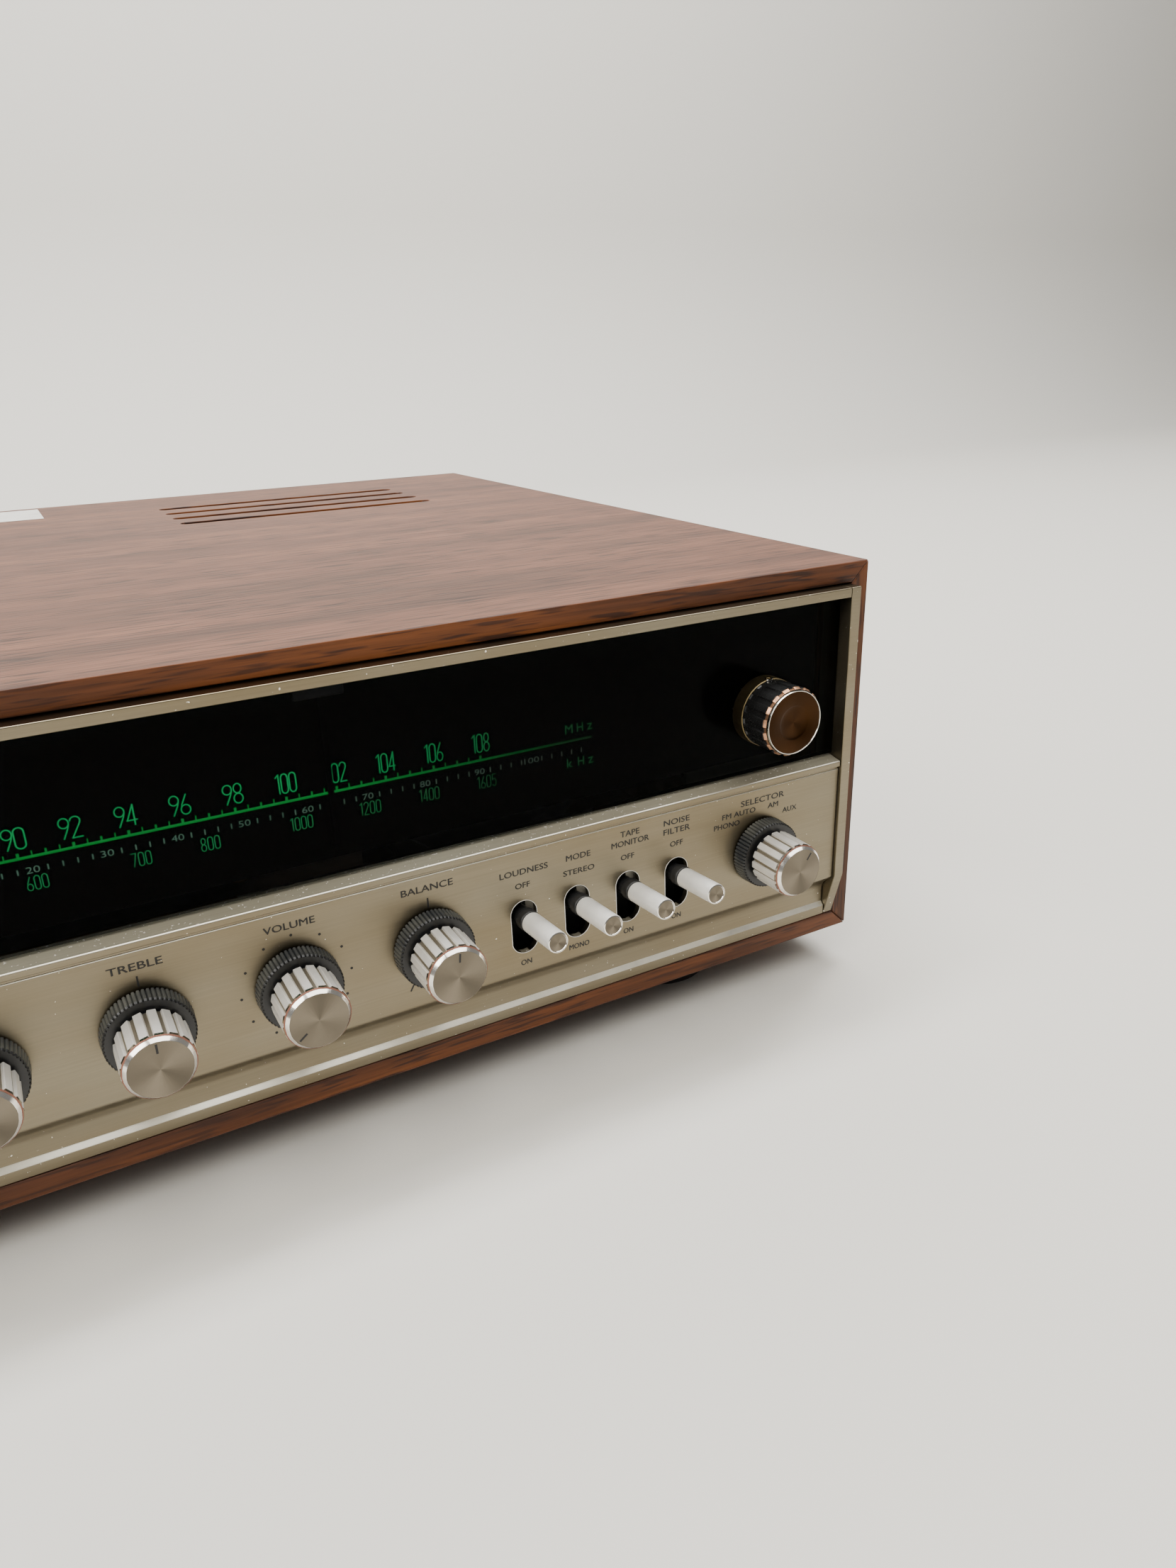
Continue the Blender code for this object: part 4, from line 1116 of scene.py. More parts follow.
for name in ("loudness", "tape_monitor", "noise_filter"):
    x = lever_x[name]
    WORDS.append(("OFF", x - 2.1, x + 2.2, 60.0, 1.6))
    WORDS.append(("ON", x - 1.6, x + 1.6, 36.7, 1.6))
marks = []
for word, left, right, baseline, height in WORDS:
    for strike in (-STRIKE, STRIKE):
        sides = (left + strike, right + strike, baseline + strike / 2)
        marks.append(word_mesh(word, *sides, height, FACE + strike / 8))
print("words set:", len(WORDS))
STOP = math.radians(150)
MARK_REACH = 13.6
for name in ("bass", "treble", "balance"):
    for angle, near in ((0, 10.9), (-STOP, 11.5), (STOP, 11.5)):
        marks.append(plate_mesh(bar(knob_x[name], KNOB_Z, angle, near, MARK_REACH, 0.42), FACE))
DOTS, DOT_REACH, DOT_RADIUS = 11, 13.5, 0.36
for n in range(DOTS):
    angle = STOP * (2 * n / (DOTS - 1) - 1)
    x, z = knob_x["volume"] + DOT_REACH * math.sin(angle), KNOB_Z + DOT_REACH * math.cos(angle)
    marks.append(plate_mesh(circle(x, z, DOT_RADIUS, 14), FACE))
lettering = joined("panel_lettering", marks, [printed_black])
ride_as(lettering, "receiver", "champagne_aluminium")

# %% [markdown]
# ## The dial
# Behind the window stands a black plate with the scale printed on it. Its figures are narrow and
# drawn with a round nib, so each digit is a few strokes: arcs and straight lines with a thin
# round bevel, pressed flat afterwards. The small logging figures between them are wide instead,
# and a built-in typeface stretched sideways is close enough for those.

# %% Window and plate
GLASS_LOW, GLASS_HIGH = span("dial_glass")
TUNING = middle("tuning_shaft")
window = box("dial_window", GLASS_LOW, GLASS_HIGH, [smoked_acrylic])
spindle_ring = circle(TUNING.x, TUNING.z, 4.2, 24)
window = cut_out(window, prism("spindle_cutter", spindle_ring, 1, -9, 9, []))
ride_as(rounded(window, 0.15, 2), "receiver", "smoked_window", "dial_glass")
refinish("dial_plate", dial_paint)
print("window, mm:", [round(side, 1) for side in GLASS_HIGH - GLASS_LOW])


# %% Digits drawn with a round nib
def arc(x, z, wide, high, start, end, steps=9):
    """Points along an ellipse from one angle to another, in degrees."""
    turns = [math.radians(start + (end - start) * n / steps) for n in range(steps + 1)]
    return [(x + wide * math.cos(t), z + high * math.sin(t)) for t in turns]


# Strokes in shares of a digit's height; NIB is the radius of its round ends.
NIB = 0.21
DIGITS = {
    "0": [
        [(0.0, NIB), (0.0, 1 - NIB)] + arc(NIB, 1 - NIB, NIB, NIB, 180, 0),
        [(2 * NIB, 1 - NIB), (2 * NIB, NIB)] + arc(NIB, NIB, NIB, NIB, 0, -180),
    ],
    "1": [[(0.17, 0.84), (0.38, 1.0)], [(0.38, 1.02), (0.38, 0.0)]],
    "2": [
        arc(NIB, 1 - NIB, NIB, NIB, 175, -15) + [(0.36, 0.62), (0.0, 0.0)],
        [(-0.03, 0.0), (0.44, 0.0)],
    ],
    "4": [
        [(0.46, 0.26), (-0.03, 0.26)],
        [(0.0, 0.24), (0.32, 1.0)],
        [(0.32, 1.03), (0.32, 0.0)],
    ],
    "5": [
        [(0.40, 1.0), (0.03, 1.0)],
        [(0.05, 1.0), (0.02, 0.56)],
        [(0.01, 0.53)] + arc(NIB, 0.32, NIB, 0.32, 125, -150),
    ],
    "6": [
        [(0.30, 1.0), (0.07, 0.52)] + arc(NIB, 0.24, NIB, 0.24, 160, -180, 14) + [(0.02, 0.36)],
    ],
    "7": [[(0.0, 1.0), (0.45, 1.0)], [(0.42, 1.0), (0.14, 0.0)]],
    "8": [arc(NIB, 0.25, NIB, 0.25, 90, 450, 14), arc(NIB, 0.76, 0.18, 0.24, -90, 270, 14)],
    "9": [
        [(0.12, 0.0), (0.35, 0.48)] + arc(NIB, 0.76, NIB, 0.24, -20, 360, 14) + [(0.40, 0.64)],
    ],
}


def nib_strokes(text, centre, baseline, height, pitch, squeeze=1.0):
    """The strokes of a number, centred on x and standing on the baseline, in millimetres."""
    wide = height * squeeze
    left = centre - (pitch * (len(text) - 1) + 2 * NIB * wide) / 2
    strokes = []
    for n, digit in enumerate(text):
        start = left + n * pitch
        for line in DIGITS[digit]:
            strokes.append([(start + x * wide, baseline + z * height) for x, z in line])
    return strokes


def drawn(name, strokes, radius, y, material, body="receiver"):
    """All strokes as one flat film: thin round wires pressed to a fifth of their depth."""
    curve = bpy.data.curves.new(name, "CURVE")
    curve.dimensions = "3D"
    curve.bevel_depth = radius * MM
    curve.bevel_resolution = 1
    curve.use_fill_caps = True
    for stroke in strokes:
        line = curve.splines.new("POLY")
        line.points.add(len(stroke) - 1)
        for point, (x, z) in zip(line.points, stroke):
            point.co = (x * MM, 0, z * MM, 1)
    draft = bpy.data.objects.new(name, curve)
    bpy.context.scene.collection.objects.link(draft)
    draft.data.materials.append(material)
    press = Matrix.Translation(place(0, y, 0)) @ Matrix.Scale(0.2, 4, Vector((0, 1, 0)))
    return ride_as(settled(draft, press), body, "dial_black")


# %% Scale of the dial
PLATE = span("dial_plate")[0].y - 0.1
SCALE_LEFT, LINE_END = -64.0, 125.2
LINE_Z, LINE_HALF = 93.85, 0.31
BAND_MIDDLE, BAND_PITCH, BAND_STRETCH = 29.6, 5.98, 0.0276


def band_x(megahertz):
    """The marks spread slowly towards the high end, as the capacitor's plates are cut."""
    step = megahertz - 98
    return BAND_MIDDLE + BAND_PITCH * step + BAND_STRETCH * step**2


line = box(
    "band_line",
    (SCALE_LEFT, PLATE - 0.06, LINE_Z - LINE_HALF),
    (LINE_END, PLATE, LINE_Z + LINE_HALF),
    [band_line],
)
ride_as(line, "receiver", "dial_black")
# Half width and height of the marks for a labelled, a quarter, a middle and a quarter step.
TICKS = ((0.30, 1.25), (0.14, 1.35), (0.22, 1.25), (0.14, 1.35))
ticks = []
for n in range(41):
    wide, high = TICKS[n % 4]
    x = band_x(88 + n / 2)
    ticks.append(plate_mesh(bar(x, LINE_Z, 0, 0, high, 2 * wide), PLATE, 0.05))
ride_as(joined("band_ticks", ticks, [band_line]), "receiver", "dial_black")
upper = []
for megahertz in range(88, 109, 2):
    spacing = (2.35, 1.0) if megahertz < 100 else (1.95, 0.75)
    upper += nib_strokes(str(megahertz), band_x(megahertz), LINE_Z + 2.2, 4.9, *spacing)
drawn("band_figures", upper, 0.165, PLATE, band_figures)
LOWER = ("540", "600", "700", "800", "1000", "1200", "1400", "1605")
LOWER_X = (-28.4, -13.9, 7.6, 22.9, 44.2, 61.5, 77.2, 93.3)
lower = []
for kilohertz, x in zip(LOWER, LOWER_X):
    lower += nib_strokes(kilohertz, x, LINE_Z - 7.9, 3.3, 1.56, 0.8)
drawn("lower_figures", lower, 0.115, PLATE, low_figures)
print("dial strokes:", len(upper) + len(lower))

# %% Logging scale and units
LOG_START, LOG_PITCH = -44.46, 1.513
LOG_Z = LINE_Z - 3.1
log_marks = []
for n in range(0, 112, 2):
    x = LOG_START + LOG_PITCH * n
    if n % 10 == 0 and 0 < n <= 100:
        half = 1.4 if n < 100 else 2.2
        word = (str(n), x - half, x + half, LOG_Z - 0.8, 1.6, PLATE - 0.03)
        log_marks.append(word_mesh(*word))
    elif x < LINE_END - 1:
        log_marks.append(plate_mesh(bar(x, LOG_Z, 0, -0.7, 0.6, 0.32), PLATE, 0.05))
ride_as(joined("logging_scale", log_marks, [scale_print]), "receiver", "dial_black")
# Each word with its left and right edges, its bottom edge above the line and its height.
UNITS = [
    ("M", 117.2, 119.5, 2.2, 2.5),
    ("H", 120.8, 122.7, 2.2, 2.5),
    ("z", 124.0, 125.6, 2.2, 1.8),
    ("k", 117.4, 119.1, -7.6, 2.6),
    ("H", 120.8, 122.7, -7.6, 2.5),
    ("z", 124.0, 125.6, -7.6, 1.8),
    ("FM", -61.8, -55.6, 2.6, 3.0),
    ("AM", -61.8, -55.6, -8.0, 3.0),
]
units = []
for word, left, right, above, height in UNITS:
    units.append(word_mesh(word, left, right, LINE_Z + above, height, PLATE - 0.03))
ride_as(joined("dial_units", units, [band_figures]), "receiver", "dial_black")
print("logging marks and units:", len(log_marks) + len(UNITS))

# %% [markdown]
# ## Pointer and signal meter
# The pointer is a thin black blade that hangs from a carriage on the dial string, in front of
# the scale, so it shows only by what it hides. The meter stands behind an opening in the plate:
# a pale card with an arc of marks, and a red needle on the working model's own pivot.

# %% Pointer
low, high = span("dial_pointer")
BLADE_X, BLADE_HALF, BLADE_TOP = 51.75, 0.7, 121
blade_low = (BLADE_X - BLADE_HALF, low.y + 0.4, low.z)
blade_high = (BLADE_X + BLADE_HALF, low.y + 1.4, BLADE_TOP)
blade = box("pointer_blade", blade_low, blade_high, [dial_paint])
ride_as(rounded(blade, 0.2, 2), "pointer", "dial_black", "dial_pointer")
carriage = box("pointer_carriage", (low.x, low.y, BLADE_TOP - 2), high, [arm_black])
ride_as(rounded(carriage, 0.4, 2), "pointer", "dial_black")
print("pointer height, mm:", round(high.z - low.z, 1))

# %% Meter card and needle
METER_X, METER_Z = -106.0, 88.0
CARD_Y, CARD_HALF = 21.6, 28.6
card_low = (METER_X - CARD_HALF, CARD_Y, METER_Z - 4.6)
card_high = (METER_X + CARD_HALF, CARD_Y + 0.4, METER_Z + 26.6)
card = box("meter_card", card_low, card_high, [meter_card])
ride_as(rounded(card, 0.1, 2), "receiver", "meter_case")
meter_marks = []
sweep = [math.radians(-40 + 8 * n) for n in range(11)]
for n, angle in enumerate(sweep):
    near = 19.5 if n % 5 else 18.2
    outline = bar(METER_X, METER_Z, angle, near, 21.6, 0.35)
    meter_marks.append(plate_mesh(outline, CARD_Y - 0.02))
outer = [(METER_X + 21.9 * math.sin(t), METER_Z + 21.9 * math.cos(t)) for t in sweep]
inner = [(METER_X + 21.5 * math.sin(t), METER_Z + 21.5 * math.cos(t)) for t in reversed(sweep)]
meter_marks.append(plate_mesh(outer + inner, CARD_Y - 0.02))
ride_as(joined("meter_scale", meter_marks, [printed_black]), "receiver", "meter_case")
print("meter marks:", len(meter_marks))

# %% [markdown]
# ## Control knobs
# Each knob is a turned aluminium cap, milled with broad lands and narrow grooves, pressed on a
# black skirt with fine ribs. The cap's front edge is turned to a cone after milling, which cuts
# the grooves off in scallops; then come a fine groove, a polished chamfer and a face cut in
# circles. A Screw can't make flutes, so the cap is a stack of rings that share one count.

# %% Shapes of the flutes and ribs
# A shape lists (share of a pitch, share of the depth): 0 is the land, 1 the floor.
LANDS = 16
LAND_SHAPE = [(0.0, 1), (0.06, 0.1), (0.10, 0), (0.62, 0), (0.66, 0.1), (0.72, 1)]
RIBS = 60
RIB_SHAPE = [(0.0, 1), (0.22, 0.1), (0.36, 0), (0.64, 0), (0.78, 0.1)]
CAP_RADIUS, CAP_BACK, CAP_FACE = 8.15, 9.3, 21.5
CORE = 6.1
FLUTE = 0.65
# From the blind bore, round the rear edge and along the lands to the face: how far inside the
# cap's radius, how high, how deep the flutes are, and which finish of CAP_FINISH.
CAP_PROFILE_RINGS = [
    (CAP_RADIUS - CORE, CAP_FACE - 2.2, 0, 0),
    (CAP_RADIUS - CORE, CAP_BACK, 0, 0),
    (0.20, CAP_BACK, FLUTE, 0),
    (0.00, CAP_BACK + 0.25, FLUTE, 0),
    (0.05, CAP_FACE - 1.75, FLUTE, 0),
    (0.12, CAP_FACE - 1.5, 0.4, 1),
    (0.20, CAP_FACE - 1.15, 0, 1),
    (0.26, CAP_FACE - 1.1, 0, 2),
    (0.46, CAP_FACE - 0.95, 0, 2),
    (0.48, CAP_FACE - 0.8, 0, 1),
    (1.08, CAP_FACE - 0.1, 0, 1),
    (1.18, CAP_FACE, 0, 1),
    (1.22, CAP_FACE - 0.04, 0, 3),
]
CAP_FINISH = [satin_land, polished_ring, groove_line_painted_shade, spun_face_painted_wedges, shaded_groove]


def cap_finish(face):
    """The flutes' floors get a darker metal than the lands: painted shade in the grooves."""
    sunk = math.hypot(face.center.x, face.center.y) < (CAP_RADIUS - 0.45) * MM
    outside = CAP_BACK * MM < face.center.z < (CAP_FACE - 1.7) * MM and face.normal.z ** 2 < 0.5
    in_flute = sunk and outside and face.material_index == 0
    facing_out = face.normal.x * face.center.x + face.normal.y * face.center.y > 0
    return 4 if in_flute and facing_out else face.material_index


print("rings of a cap:", len(CAP_PROFILE_RINGS))

# %% Skirts, caps and marks
# Degrees clockwise from straight up at rest.
INDEX = {"speakers": -25, "bass": 0, "treble": 0, "volume": -128, "balance": 5.5, "selector": 35}
# Radius, height and depth of the ribs.
SKIRT = [
    (3.3, 17.0, 0),
    (3.3, 3.6, 0),
    (10.0, 3.6, 0.3),
    (10.45, 3.9, 0.6),
    (10.2, 7.9, 0.6),
    (9.8, 8.3, 0.15),
    (7.2, 8.3, 0),
    (7.0, 8.1, 0),
    (6.9, 9.0, 0),
    (5.8, 9.0, 0),
    (5.8, 19.0, 0),
]
for name in KNOBS:
    where = in_front(knob_x[name], KNOB_Z)
    body = f"{name}_control"
    angle = math.radians(INDEX[name])
    turn = Matrix.Rotation(-angle, 4, "Z")
    rings = [
        (fluted_ring(CAP_RADIUS - inward, height, LANDS, LAND_SHAPE, depth), finish)
        for inward, height, depth, finish in CAP_PROFILE_RINGS
    ]
    cap = stacked(f"{name}_cap", rings, CAP_FINISH)
    finish_faces(cap.data, cap_finish)
    ride_as(settled(cap, where @ turn, 24), body, "bright_aluminium", f"{name}_knob")
    rings = [
        (fluted_ring(radius, height, RIBS, RIB_SHAPE, depth), 0 if depth > 0.2 else 1)
        for radius, height, depth in SKIRT
    ]
    skirt = stacked(f"{name}_skirt", rings, [skirt_ribs_dust_and_sheen, skirt_face_painted_shade])
    ride_as(settled(skirt, where @ turn, 24), body, "black_plastic", f"{name}_knob_skirt")
    mark = plate_mesh(bar(knob_x[name], KNOB_Z, angle, 4.0, 6.4, 0.5), 0.05 - CAP_FACE)
    index = new_object(f"{name}_index", mark, [printed_black])
    ride_as(index, body, "black_plastic")
    refinish(f"{name}_shaft", zinc_steel)
print("control knobs:", len(KNOBS))

# %% [markdown]
# ## Levers
# Each lever is a satin sleeve on a black nylon arm that turns on a pin behind the panel. Both
# are turned shapes, made upright on their own axis, then leaned by the lever's tilt and moved to
# the pin. A dull black sheet rides on the arm behind the slot: painted shade for the dark inside.

# %% Lever pieces
PIVOT_Y = 29.6
TILT = math.radians(5.3)
TIP, SLEEVE_BACK = 52.9, 37.6
SLEEVE = [
    (0, TIP - 0.12),
    (2.3, TIP - 0.12),
    (2.4, TIP),
    (2.55, TIP),
    (2.8, TIP - 0.15),
    (2.9, TIP - 0.45),
    (2.9, SLEEVE_BACK + 0.2),
    (2.7, SLEEVE_BACK),
    (1.9, SLEEVE_BACK),
    (1.9, TIP - 4),
    (0, TIP - 4),
]
ARM = [
    (0, TIP - 4.3),
    (1.6, TIP - 4.3),
    (1.6, SLEEVE_BACK - 0.3),
    (2.75, SLEEVE_BACK - 0.3),
    (3.05, SLEEVE_BACK - 0.8),
    (3.05, SLEEVE_BACK - 3.4),
    (2.6, SLEEVE_BACK - 4.3),
    (2.5, 27.5),
    (2.2, 24),
    (2.2, 3),
    (0, 3),
]
HUB = [(4.2, 3), (4.2, -3), (1.8, -3), (1.8, 3), (4.2, 3)]


def sleeve_finish(face):
    """The end is cut in circles inside a polished rim; the rest is satin."""
    height = face.center.z / MM
    if face.normal.z > 0.9 and height > TIP - 0.3:
        return 2 if math.hypot(face.center.x, face.center.y) < 2.5 * MM else 0
    return 1 if height > TIP - 0.16 else 0


for name, x in lever_x.items():
    where = Matrix.Translation(place(x, PIVOT_Y, LEVER_Z)) @ Matrix.Rotation(-TILT, 4, "X")
    where = where @ FACING
    body = f"{name}_lever"
    sleeve = settled(turned(f"{name}_sleeve", SLEEVE, [lever_satin, polished_ring, spun_face_painted_wedges], 40))
    finish_faces(sleeve.data, sleeve_finish)
    polar_brushing(sleeve.data)
    ride_as(settled(sleeve, where), body, "bright_aluminium", f"{name}_handle")
    arm = turned(f"{name}_stem", ARM, [arm_black], 32, 0.15)
    ride_as(settled(arm, where), body, "black_plastic", f"{name}_arm")
    hub = turned(f"{name}_hub", HUB, [arm_black], 32)
    ride_as(settled(hub, where @ Matrix.Rotation(math.pi / 2, 4, "Y")), body, "black_plastic")
    # A black sheet behind the slot: painted shade standing in for the dark inside of the set.
    shade_sheet = plate_mesh([(-4.6, -13), (4.6, -13), (4.6, 13), (-4.6, 13)], 0, 0.5)
    shade_sheet.transform(FACING.inverted() @ Matrix.Translation(-place(0, 0, 0)))
    shade_sheet.transform(where @ Matrix.Translation((0, 0, 23.5 * MM)))
    ride_as(new_object(f"{name}_shutter", shade_sheet, [slot_shade_sheet]), body, "black_plastic")
print("levers:", len(lever_x))

# %% [markdown]
# ## Tuning knob
# The tuning knob stands on the window: a dark bronze collar, a glossy black body with broad
# flutes, a rose gold cone that the flutes cut into scallops, a thin silver ring and a bronze
# face with a shallow dish. It is made as the control knobs are, with a finish for each ring.

# %% Tuning knob
# Radius, height, depth of the flutes and which finish of tuning_finish.
DISH = 4.9
TUNING_LANDS = 16
TUNING_SHAPE = [(0.0, 1), (0.04, 0.1), (0.08, 0), (0.52, 0), (0.56, 0.1), (0.6, 1)]
tuning_finish = [tuning_black, bronze_collar, rose_chamfer, nickel, bronze_face_painted_wedges]


def tuning_rings(profile):
    """A ring of the tuning knob for each row of a profile."""
    return [
        (fluted_ring(radius, height, TUNING_LANDS, TUNING_SHAPE, depth), finish)
        for radius, height, depth, finish in profile
    ]


body_profile = [
    (3.3, 12.0, 0, 1),
    (3.3, 0.4, 0, 1),
    (9.8, 0.4, 0, 1),
    (10.0, 0.6, 0, 1),
    (10.0, 4.8, 0, 1),
    (9.8, 5.0, 0, 1),
    (9.55, 5.0, 0, 0),
    (9.75, 5.3, 0.5, 0),
    (9.85, 13.9, 0.5, 0),
    (9.6, 14.1, 0.5, 0),
]
face_profile = [
    (9.4, 14.2, 0, 2),
    (9.95, 14.25, 0.45, 2),
    (9.95, 14.45, 0.45, 2),
    (9.45, 15.2, 0.06, 2),
    (9.40, 14.95, 0, 0),
    (9.28, 14.95, 0, 0),
    (9.22, 15.6, 0, 3),
    (9.12, 15.85, 0, 3),
    (8.95, 15.85, 0, 3),
    (8.88, 15.7, 0, 3),
    (DISH + 0.25, 15.7, 0, 4),
    (DISH, 15.62, 0, 4),
    (DISH - 0.5, 15.5, 0, 4),
    (DISH - 1.6, 15.38, 0, 4),
    (1.5, 15.3, 0, 4),
]
where = in_front(TUNING.x, TUNING.z)
grip = stacked("tuning_grip", tuning_rings(body_profile), tuning_finish)
ride_as(settled(grip, where, 24), "tuning_control", "black_plastic", "tuning_knob")
button = stacked("tuning_face", tuning_rings(face_profile), tuning_finish)
ride_as(settled(button, where, 24), "tuning_control", "bronze_aluminium", "tuning_knob_cap")
SCREW_RIM = [(1.2, 0.35), (1.2, 0), (0.85, 0), (0.75, 0.35), (1.2, 0.35)]
rim = turned("tuning_set_screw", SCREW_RIM, [nickel], 24)
aside = Matrix.Rotation(math.radians(4), 4, "Z")
seat = Matrix.Translation((0, 9.85 * MM, 4.6 * MM)) @ Matrix.Rotation(-math.pi / 2, 4, "X")
rim = settled(rim, where @ aside @ seat)
ride_as(rim, "tuning_control", "bright_aluminium")
print("tuning knob made")

# %% [markdown]
# ## Headphone jack
# A nickel plated bush with a round nut that stands on the panel. Both are turned, and since
# nothing shows between them, one profile from the nut's flange to the tip makes them together.

# %% Jack
JACK = [
    (6.6, 4.0),
    (6.6, 3.5),
    (4.8, 3.5),
    (4.8, -6),
    (6.8, -6),
    (6.8, -34),
    (3.3, -34),
    (3.3, 5.4),
    (5.0, 5.4),
    (5.4, 5.0),
    (5.4, 4.2),
    (6.6, 4.0),
]
jack = turned("jack_bush", JACK, [nickel], 40, 0.1)
ride_as(settled(jack, in_front(PHONES.x, KNOB_Z)), "receiver", "nickel", "headphone_jack")
print("jack made")

# %% [markdown]
# ## The back
# The rear panel is a zinc plated sheet with the connections. Phono sockets are nickel shells
# round white or red nylon, in pairs for the two channels. The speaker terminals are slotted
# brass screws in a bakelite strip with fins between them. Everything here is turned or pushed
# from simple outlines, because none of it is more than a few millimetres across.

# %% Sockets and terminals
REAR = span("rear_panel")[0].y + 1.8


def behind(x, z, y=REAR):
    """Turns a piece's own Z towards the back."""
    return Matrix.Translation(place(x, y, z)) @ BACKING


strip_low, strip_high = span("phono_sockets")
strip = box("phono_strip", strip_low, (strip_high.x, strip_low.y + 2, strip_high.z), [bakelite])
ride_as(rounded(strip, 0.5, 2), "receiver", "bakelite", "phono_sockets")
SHELL = [(4.1, 9.8), (4.1, 3.2), (6.0, 2.6), (6.0, 2.0), (3.6, 2.0), (3.6, 9.8), (4.1, 9.8)]
CORE_PLUG = [(1.6, 9.2), (3.5, 9.2), (3.5, 2.1), (1.6, 2.1), (1.6, 9.2)]
for column in range(5):
    for row, insulator in ((0, terminal_red), (1, socket_white)):
        spot = behind(-50 + 25 * column, 46.5 + 17 * row)
        tag = f"{column + 1}_{'right' if row == 0 else 'left'}"
        shell = turned(f"phono_shell_{tag}", SHELL, [nickel], 32, 0.15)
        ride_as(settled(shell, spot), "receiver", "nickel")
        plug = turned(f"phono_core_{tag}", CORE_PLUG, [insulator], 24)
        ride_as(settled(plug, spot), "receiver", "bakelite")
block_low, block_high = span("terminal_strip")
block_top = (block_high.x, block_low.y + 6.6, block_high.z)
block = box("terminal_block", block_low, block_top, [bakelite])
ride_as(rounded(block, 0.6, 2), "receiver", "bakelite", "terminal_strip")
TERMINALS, FIRST_TERMINAL, TERMINAL_PITCH = 8, 93.5, 13.4
SCREW_HEAD = [(0, 3.2), (2.6, 3.0), (3.5, 2.0), (3.5, 0.3), (2.2, 0.3), (2.2, -2), (0, -2)]


def slotted_screw(name, x, z, y, metal, size=1.0, angle=0.0):
    """A pan head screw that faces the back, with a slot cut across it."""
    profile = [(radius * size, height * size) for radius, height in SCREW_HEAD]
    head = turned(name, profile, [metal], 28, 0.12)
    groove = new_object("groove", bpy.data.meshes.new("groove"), [])
    bm = bmesh.new()
    shape = Matrix.Diagonal((9 * size * MM, 0.9 * size * MM, 1.4 * size * MM, 1))
    lift = Matrix.Translation((0, 0, 3.1 * size * MM))
    bmesh.ops.create_cube(bm, size=1, matrix=lift @ Matrix.Rotation(angle, 4, "Z") @ shape)
    bm.to_mesh(groove.data)
    bm.free()
    head = cut_out(head, groove)
    return ride_as(settled(head, behind(x, z, y)), "receiver", "zinc_steel")


for n in range(TERMINALS):
    x = FIRST_TERMINAL + n * TERMINAL_PITCH
    slotted_screw(f"terminal_screw_{n + 1}", x, 49, block_low.y + 6.5, brass, 1.0, 0.7 * n)
    if n:
        fin_x = x - TERMINAL_PITCH / 2
        corner = (fin_x - 0.7, block_low.y + 6, 39)
        fin = box(f"terminal_fin_{n}", corner, (fin_x + 0.7, block_low.y + 9.4, 59), [bakelite])
        ride_as(rounded(fin, 0.3, 2), "receiver", "bakelite")
print("connections made")

# %% Outlet, panel screws and cord gland
outlet_low, outlet_high = span("ac_outlet")
outlet = box("outlet_body", outlet_low, outlet_high, [gloss_black])
blades = []
for x in (-136, -122):
    corners = (x - 0.9, outlet_low.y + 1, 70), (x + 0.9, outlet_high.y + 4, 80)
    blades.append(box("blade_cutter", *corners, []))
outlet = cut_out(outlet, *blades)
ride_as(rounded(outlet, 0.8, 2), "receiver", "black_plastic", "ac_outlet")
LOW_SCREWS = [(x, 25) for x in (-203, -90, 70, 203)]
HIGH_SCREWS = [(x, 121) for x in (-203, -70, 90, 203)]
for n, (x, z) in enumerate(LOW_SCREWS + HIGH_SCREWS):
    slotted_screw(f"panel_screw_{n + 1}", x, z, REAR - 0.3, zinc_steel, 0.9, 0.9 * n)
gland = [
    (8.4, 1.0),
    (8.4, 0.0),
    (5.6, -0.2),
    (5.6, -5.0),
    (3.5, -5.0),
    (3.5, 6.9),
    (7.0, 6.9),
    (7.5, 6.2),
    (8.4, 1.0),
]
grommet = middle("cord_grommet")
gland_piece = turned("cord_gland", gland, [arm_black], 40, 0.2)
gland_piece = settled(gland_piece, behind(grommet.x, grommet.z, REAR + 0.1))
ride_as(gland_piece, "receiver", "black_plastic", "cord_grommet")
print("panel screws:", len(LOW_SCREWS + HIGH_SCREWS))

# %% Ferrite rod aerial
ROD_Y, ROD_Z, ROD_START, ROD_END = 317.0, 110.0, 26.0, 168.0
rod_profile = [
    (0, ROD_END),
    (5.2, ROD_END),
    (5.9, ROD_END - 1.2),
    (5.9, ROD_START + 1.2),
    (5.2, ROD_START),
    (0, ROD_START),
]
rod = turned("ferrite_rod", rod_profile, [ferrite_sleeve], 40, 0.3)
along_x = Matrix.Translation(place(0, ROD_Y, ROD_Z)) @ Matrix.Rotation(math.pi / 2, 4, "Y")
ride_as(settled(rod, along_x), "aerial", "ferrite", "antenna_rod")
for n, start in enumerate((44.0, 132.0)):
    shape = [(5.95, 10), (6.0, 9.6), (6.0, 0.4), (5.95, 0), (5.7, 0), (5.7, 10), (5.95, 10)]
    band = [(radius, start + height) for radius, height in shape]
    winding = turned(f"rod_band_{n + 1}", band, [coil_paper], 40)
    ride_as(settled(winding, along_x), "aerial", "ferrite")
eye = [(6.0, 6.8), (6.0, -6.8), (5.0, -7.6), (2.4, -7.6), (2.4, 6.9), (5.0, 6.9), (6.0, 6.8)]
hub_place = Matrix.Translation(place(20, ROD_Y, ROD_Z - 0.2))
ride_as(settled(turned("rod_eye", eye, [arm_black], 40, 0.2), hub_place), "aerial", "ferrite")
bridge = box("rod_bridge", (23.5, ROD_Y - 3, 104.2), (34, ROD_Y + 3, 115.8), [arm_black])
ride_as(rounded(bridge, 0.8, 2), "aerial", "ferrite")
print("back made")

# %% [markdown]
# ## Finishes of the working parts inside
# The hidden parts keep the working model's shapes: their places and sizes matter, their edges
# don't show. Each still gets its real finish, so that the set is right when it is opened.

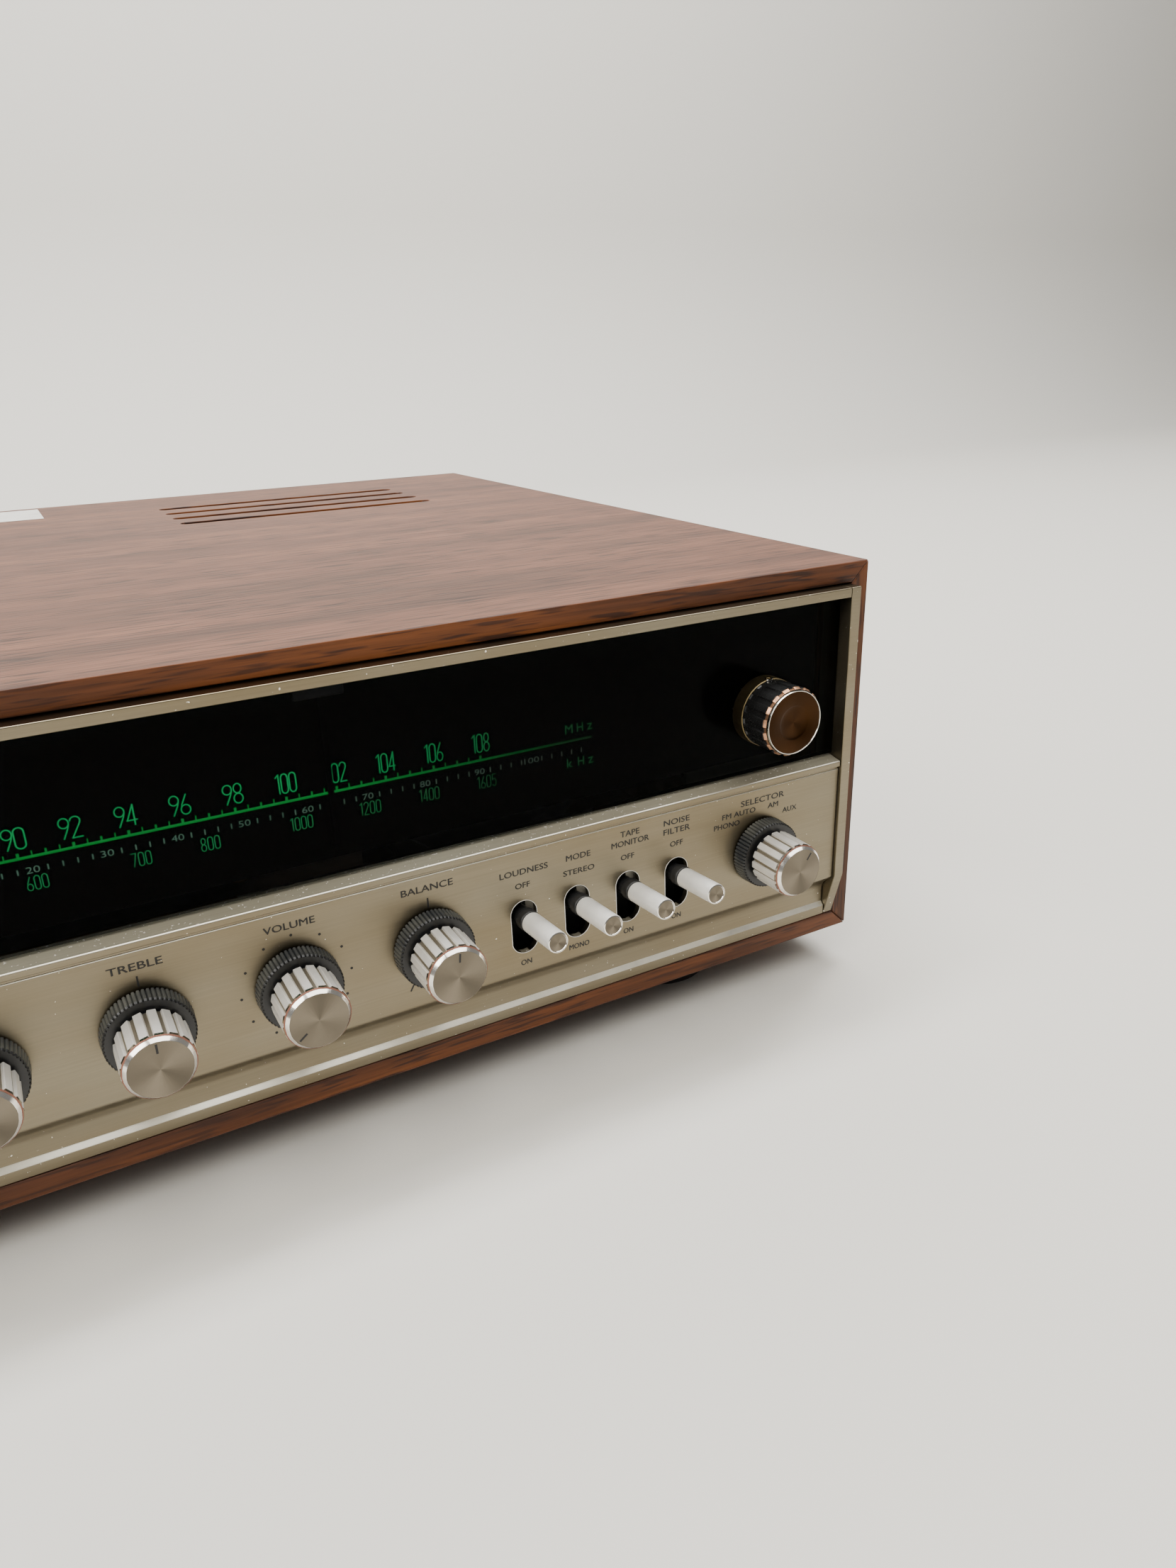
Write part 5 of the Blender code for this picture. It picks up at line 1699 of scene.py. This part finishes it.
# %% Finishes for the nodes that stay
INSIDE = {
    "chassis": zinc_steel,
    "rear_panel": zinc_steel,
    "control_bracket": zinc_steel,
    "power_transformer": varnished_core,
    "heat_sink": cast_aluminium,
    "circuit_board": board_resin,
    "tuning_capacitor": cast_aluminium,
    "tuning_drum": cast_aluminium,
    "tuning_shaft": brass,
    "signal_meter": meter_card,
    "meter_needle": needle_red,
}
for name, material in INSIDE.items():
    refinish(name, material)
print("nodes that stay:", len(INSIDE) + len(KNOBS) + 1)

# %% [markdown]
# ## Studio
# A pale floor that curves up into a pale wall keeps the edges of the dark set clear. One large
# soft light stands on the left like a window, one hangs over the front and a third washes the
# wall. The room itself is dim, so the metal has something dark to mirror between them.

# %% Floor and backdrop
studio = finish_of("pale_studio_paper", "C6C3BC", 0.85)[0]
WALL_Y, SWEEP = 1500.0, 400.0
sweep_profile = [(-3000, 0), (WALL_Y - SWEEP, 0)]
for n in range(1, 13):
    turn = math.pi / 2 * n / 12
    sweep_profile.append(
        (WALL_Y - SWEEP + SWEEP * math.sin(turn), SWEEP - SWEEP * math.cos(turn))
    )
sweep_profile.append((WALL_Y, 3000))
backdrop_mesh = bpy.data.meshes.new("backdrop")
points = [(side * 4, y * MM, z * MM) for y, z in sweep_profile for side in (-1, 1)]
faces = [(2 * n, 2 * n + 1, 2 * n + 3, 2 * n + 2) for n in range(len(sweep_profile) - 1)]
backdrop_mesh.from_pydata(points, [], faces)
backdrop_mesh.shade_smooth()
new_object("backdrop", backdrop_mesh, [studio])
print("floor and wall made")


# %% Lights
def soft_light(name, spot, aim, size, power, code):
    """A rectangle of light at a spot, aimed at another, in metres and watts."""
    lamp = bpy.data.lights.new(name, "AREA")
    lamp.shape = "RECTANGLE"
    lamp.size, lamp.size_y = size
    lamp.energy = power
    lamp.color = linear(code)[:3]
    made = bpy.data.objects.new(name, lamp)
    bpy.context.scene.collection.objects.link(made)
    made.location = spot
    made.rotation_euler = (Vector(aim) - Vector(spot)).to_track_quat("-Z", "Y").to_euler()


soft_light("window_light", (-1.1, -0.5, 1.1), (0.05, 0, 0.08), (1.3, 1.1), 28, "FFFBF4")
soft_light("ceiling_light", (0.45, -0.55, 1.45), (0.1, 0, 0.08), (1.8, 1.2), 28, "FFFDF8")
soft_light("wall_light", (0.3, 0.35, 2.3), (0.3, 1.5, 0.5), (2.4, 0.6), 130, "FFFFFF")
world = bpy.data.worlds.new("room")
bpy.context.scene.world = world
world.use_nodes = True
room = world.node_tree.nodes["Background"]
room.inputs["Color"].default_value = linear("E3E2E0")
room.inputs["Strength"].default_value = 0.28
print("lights set")
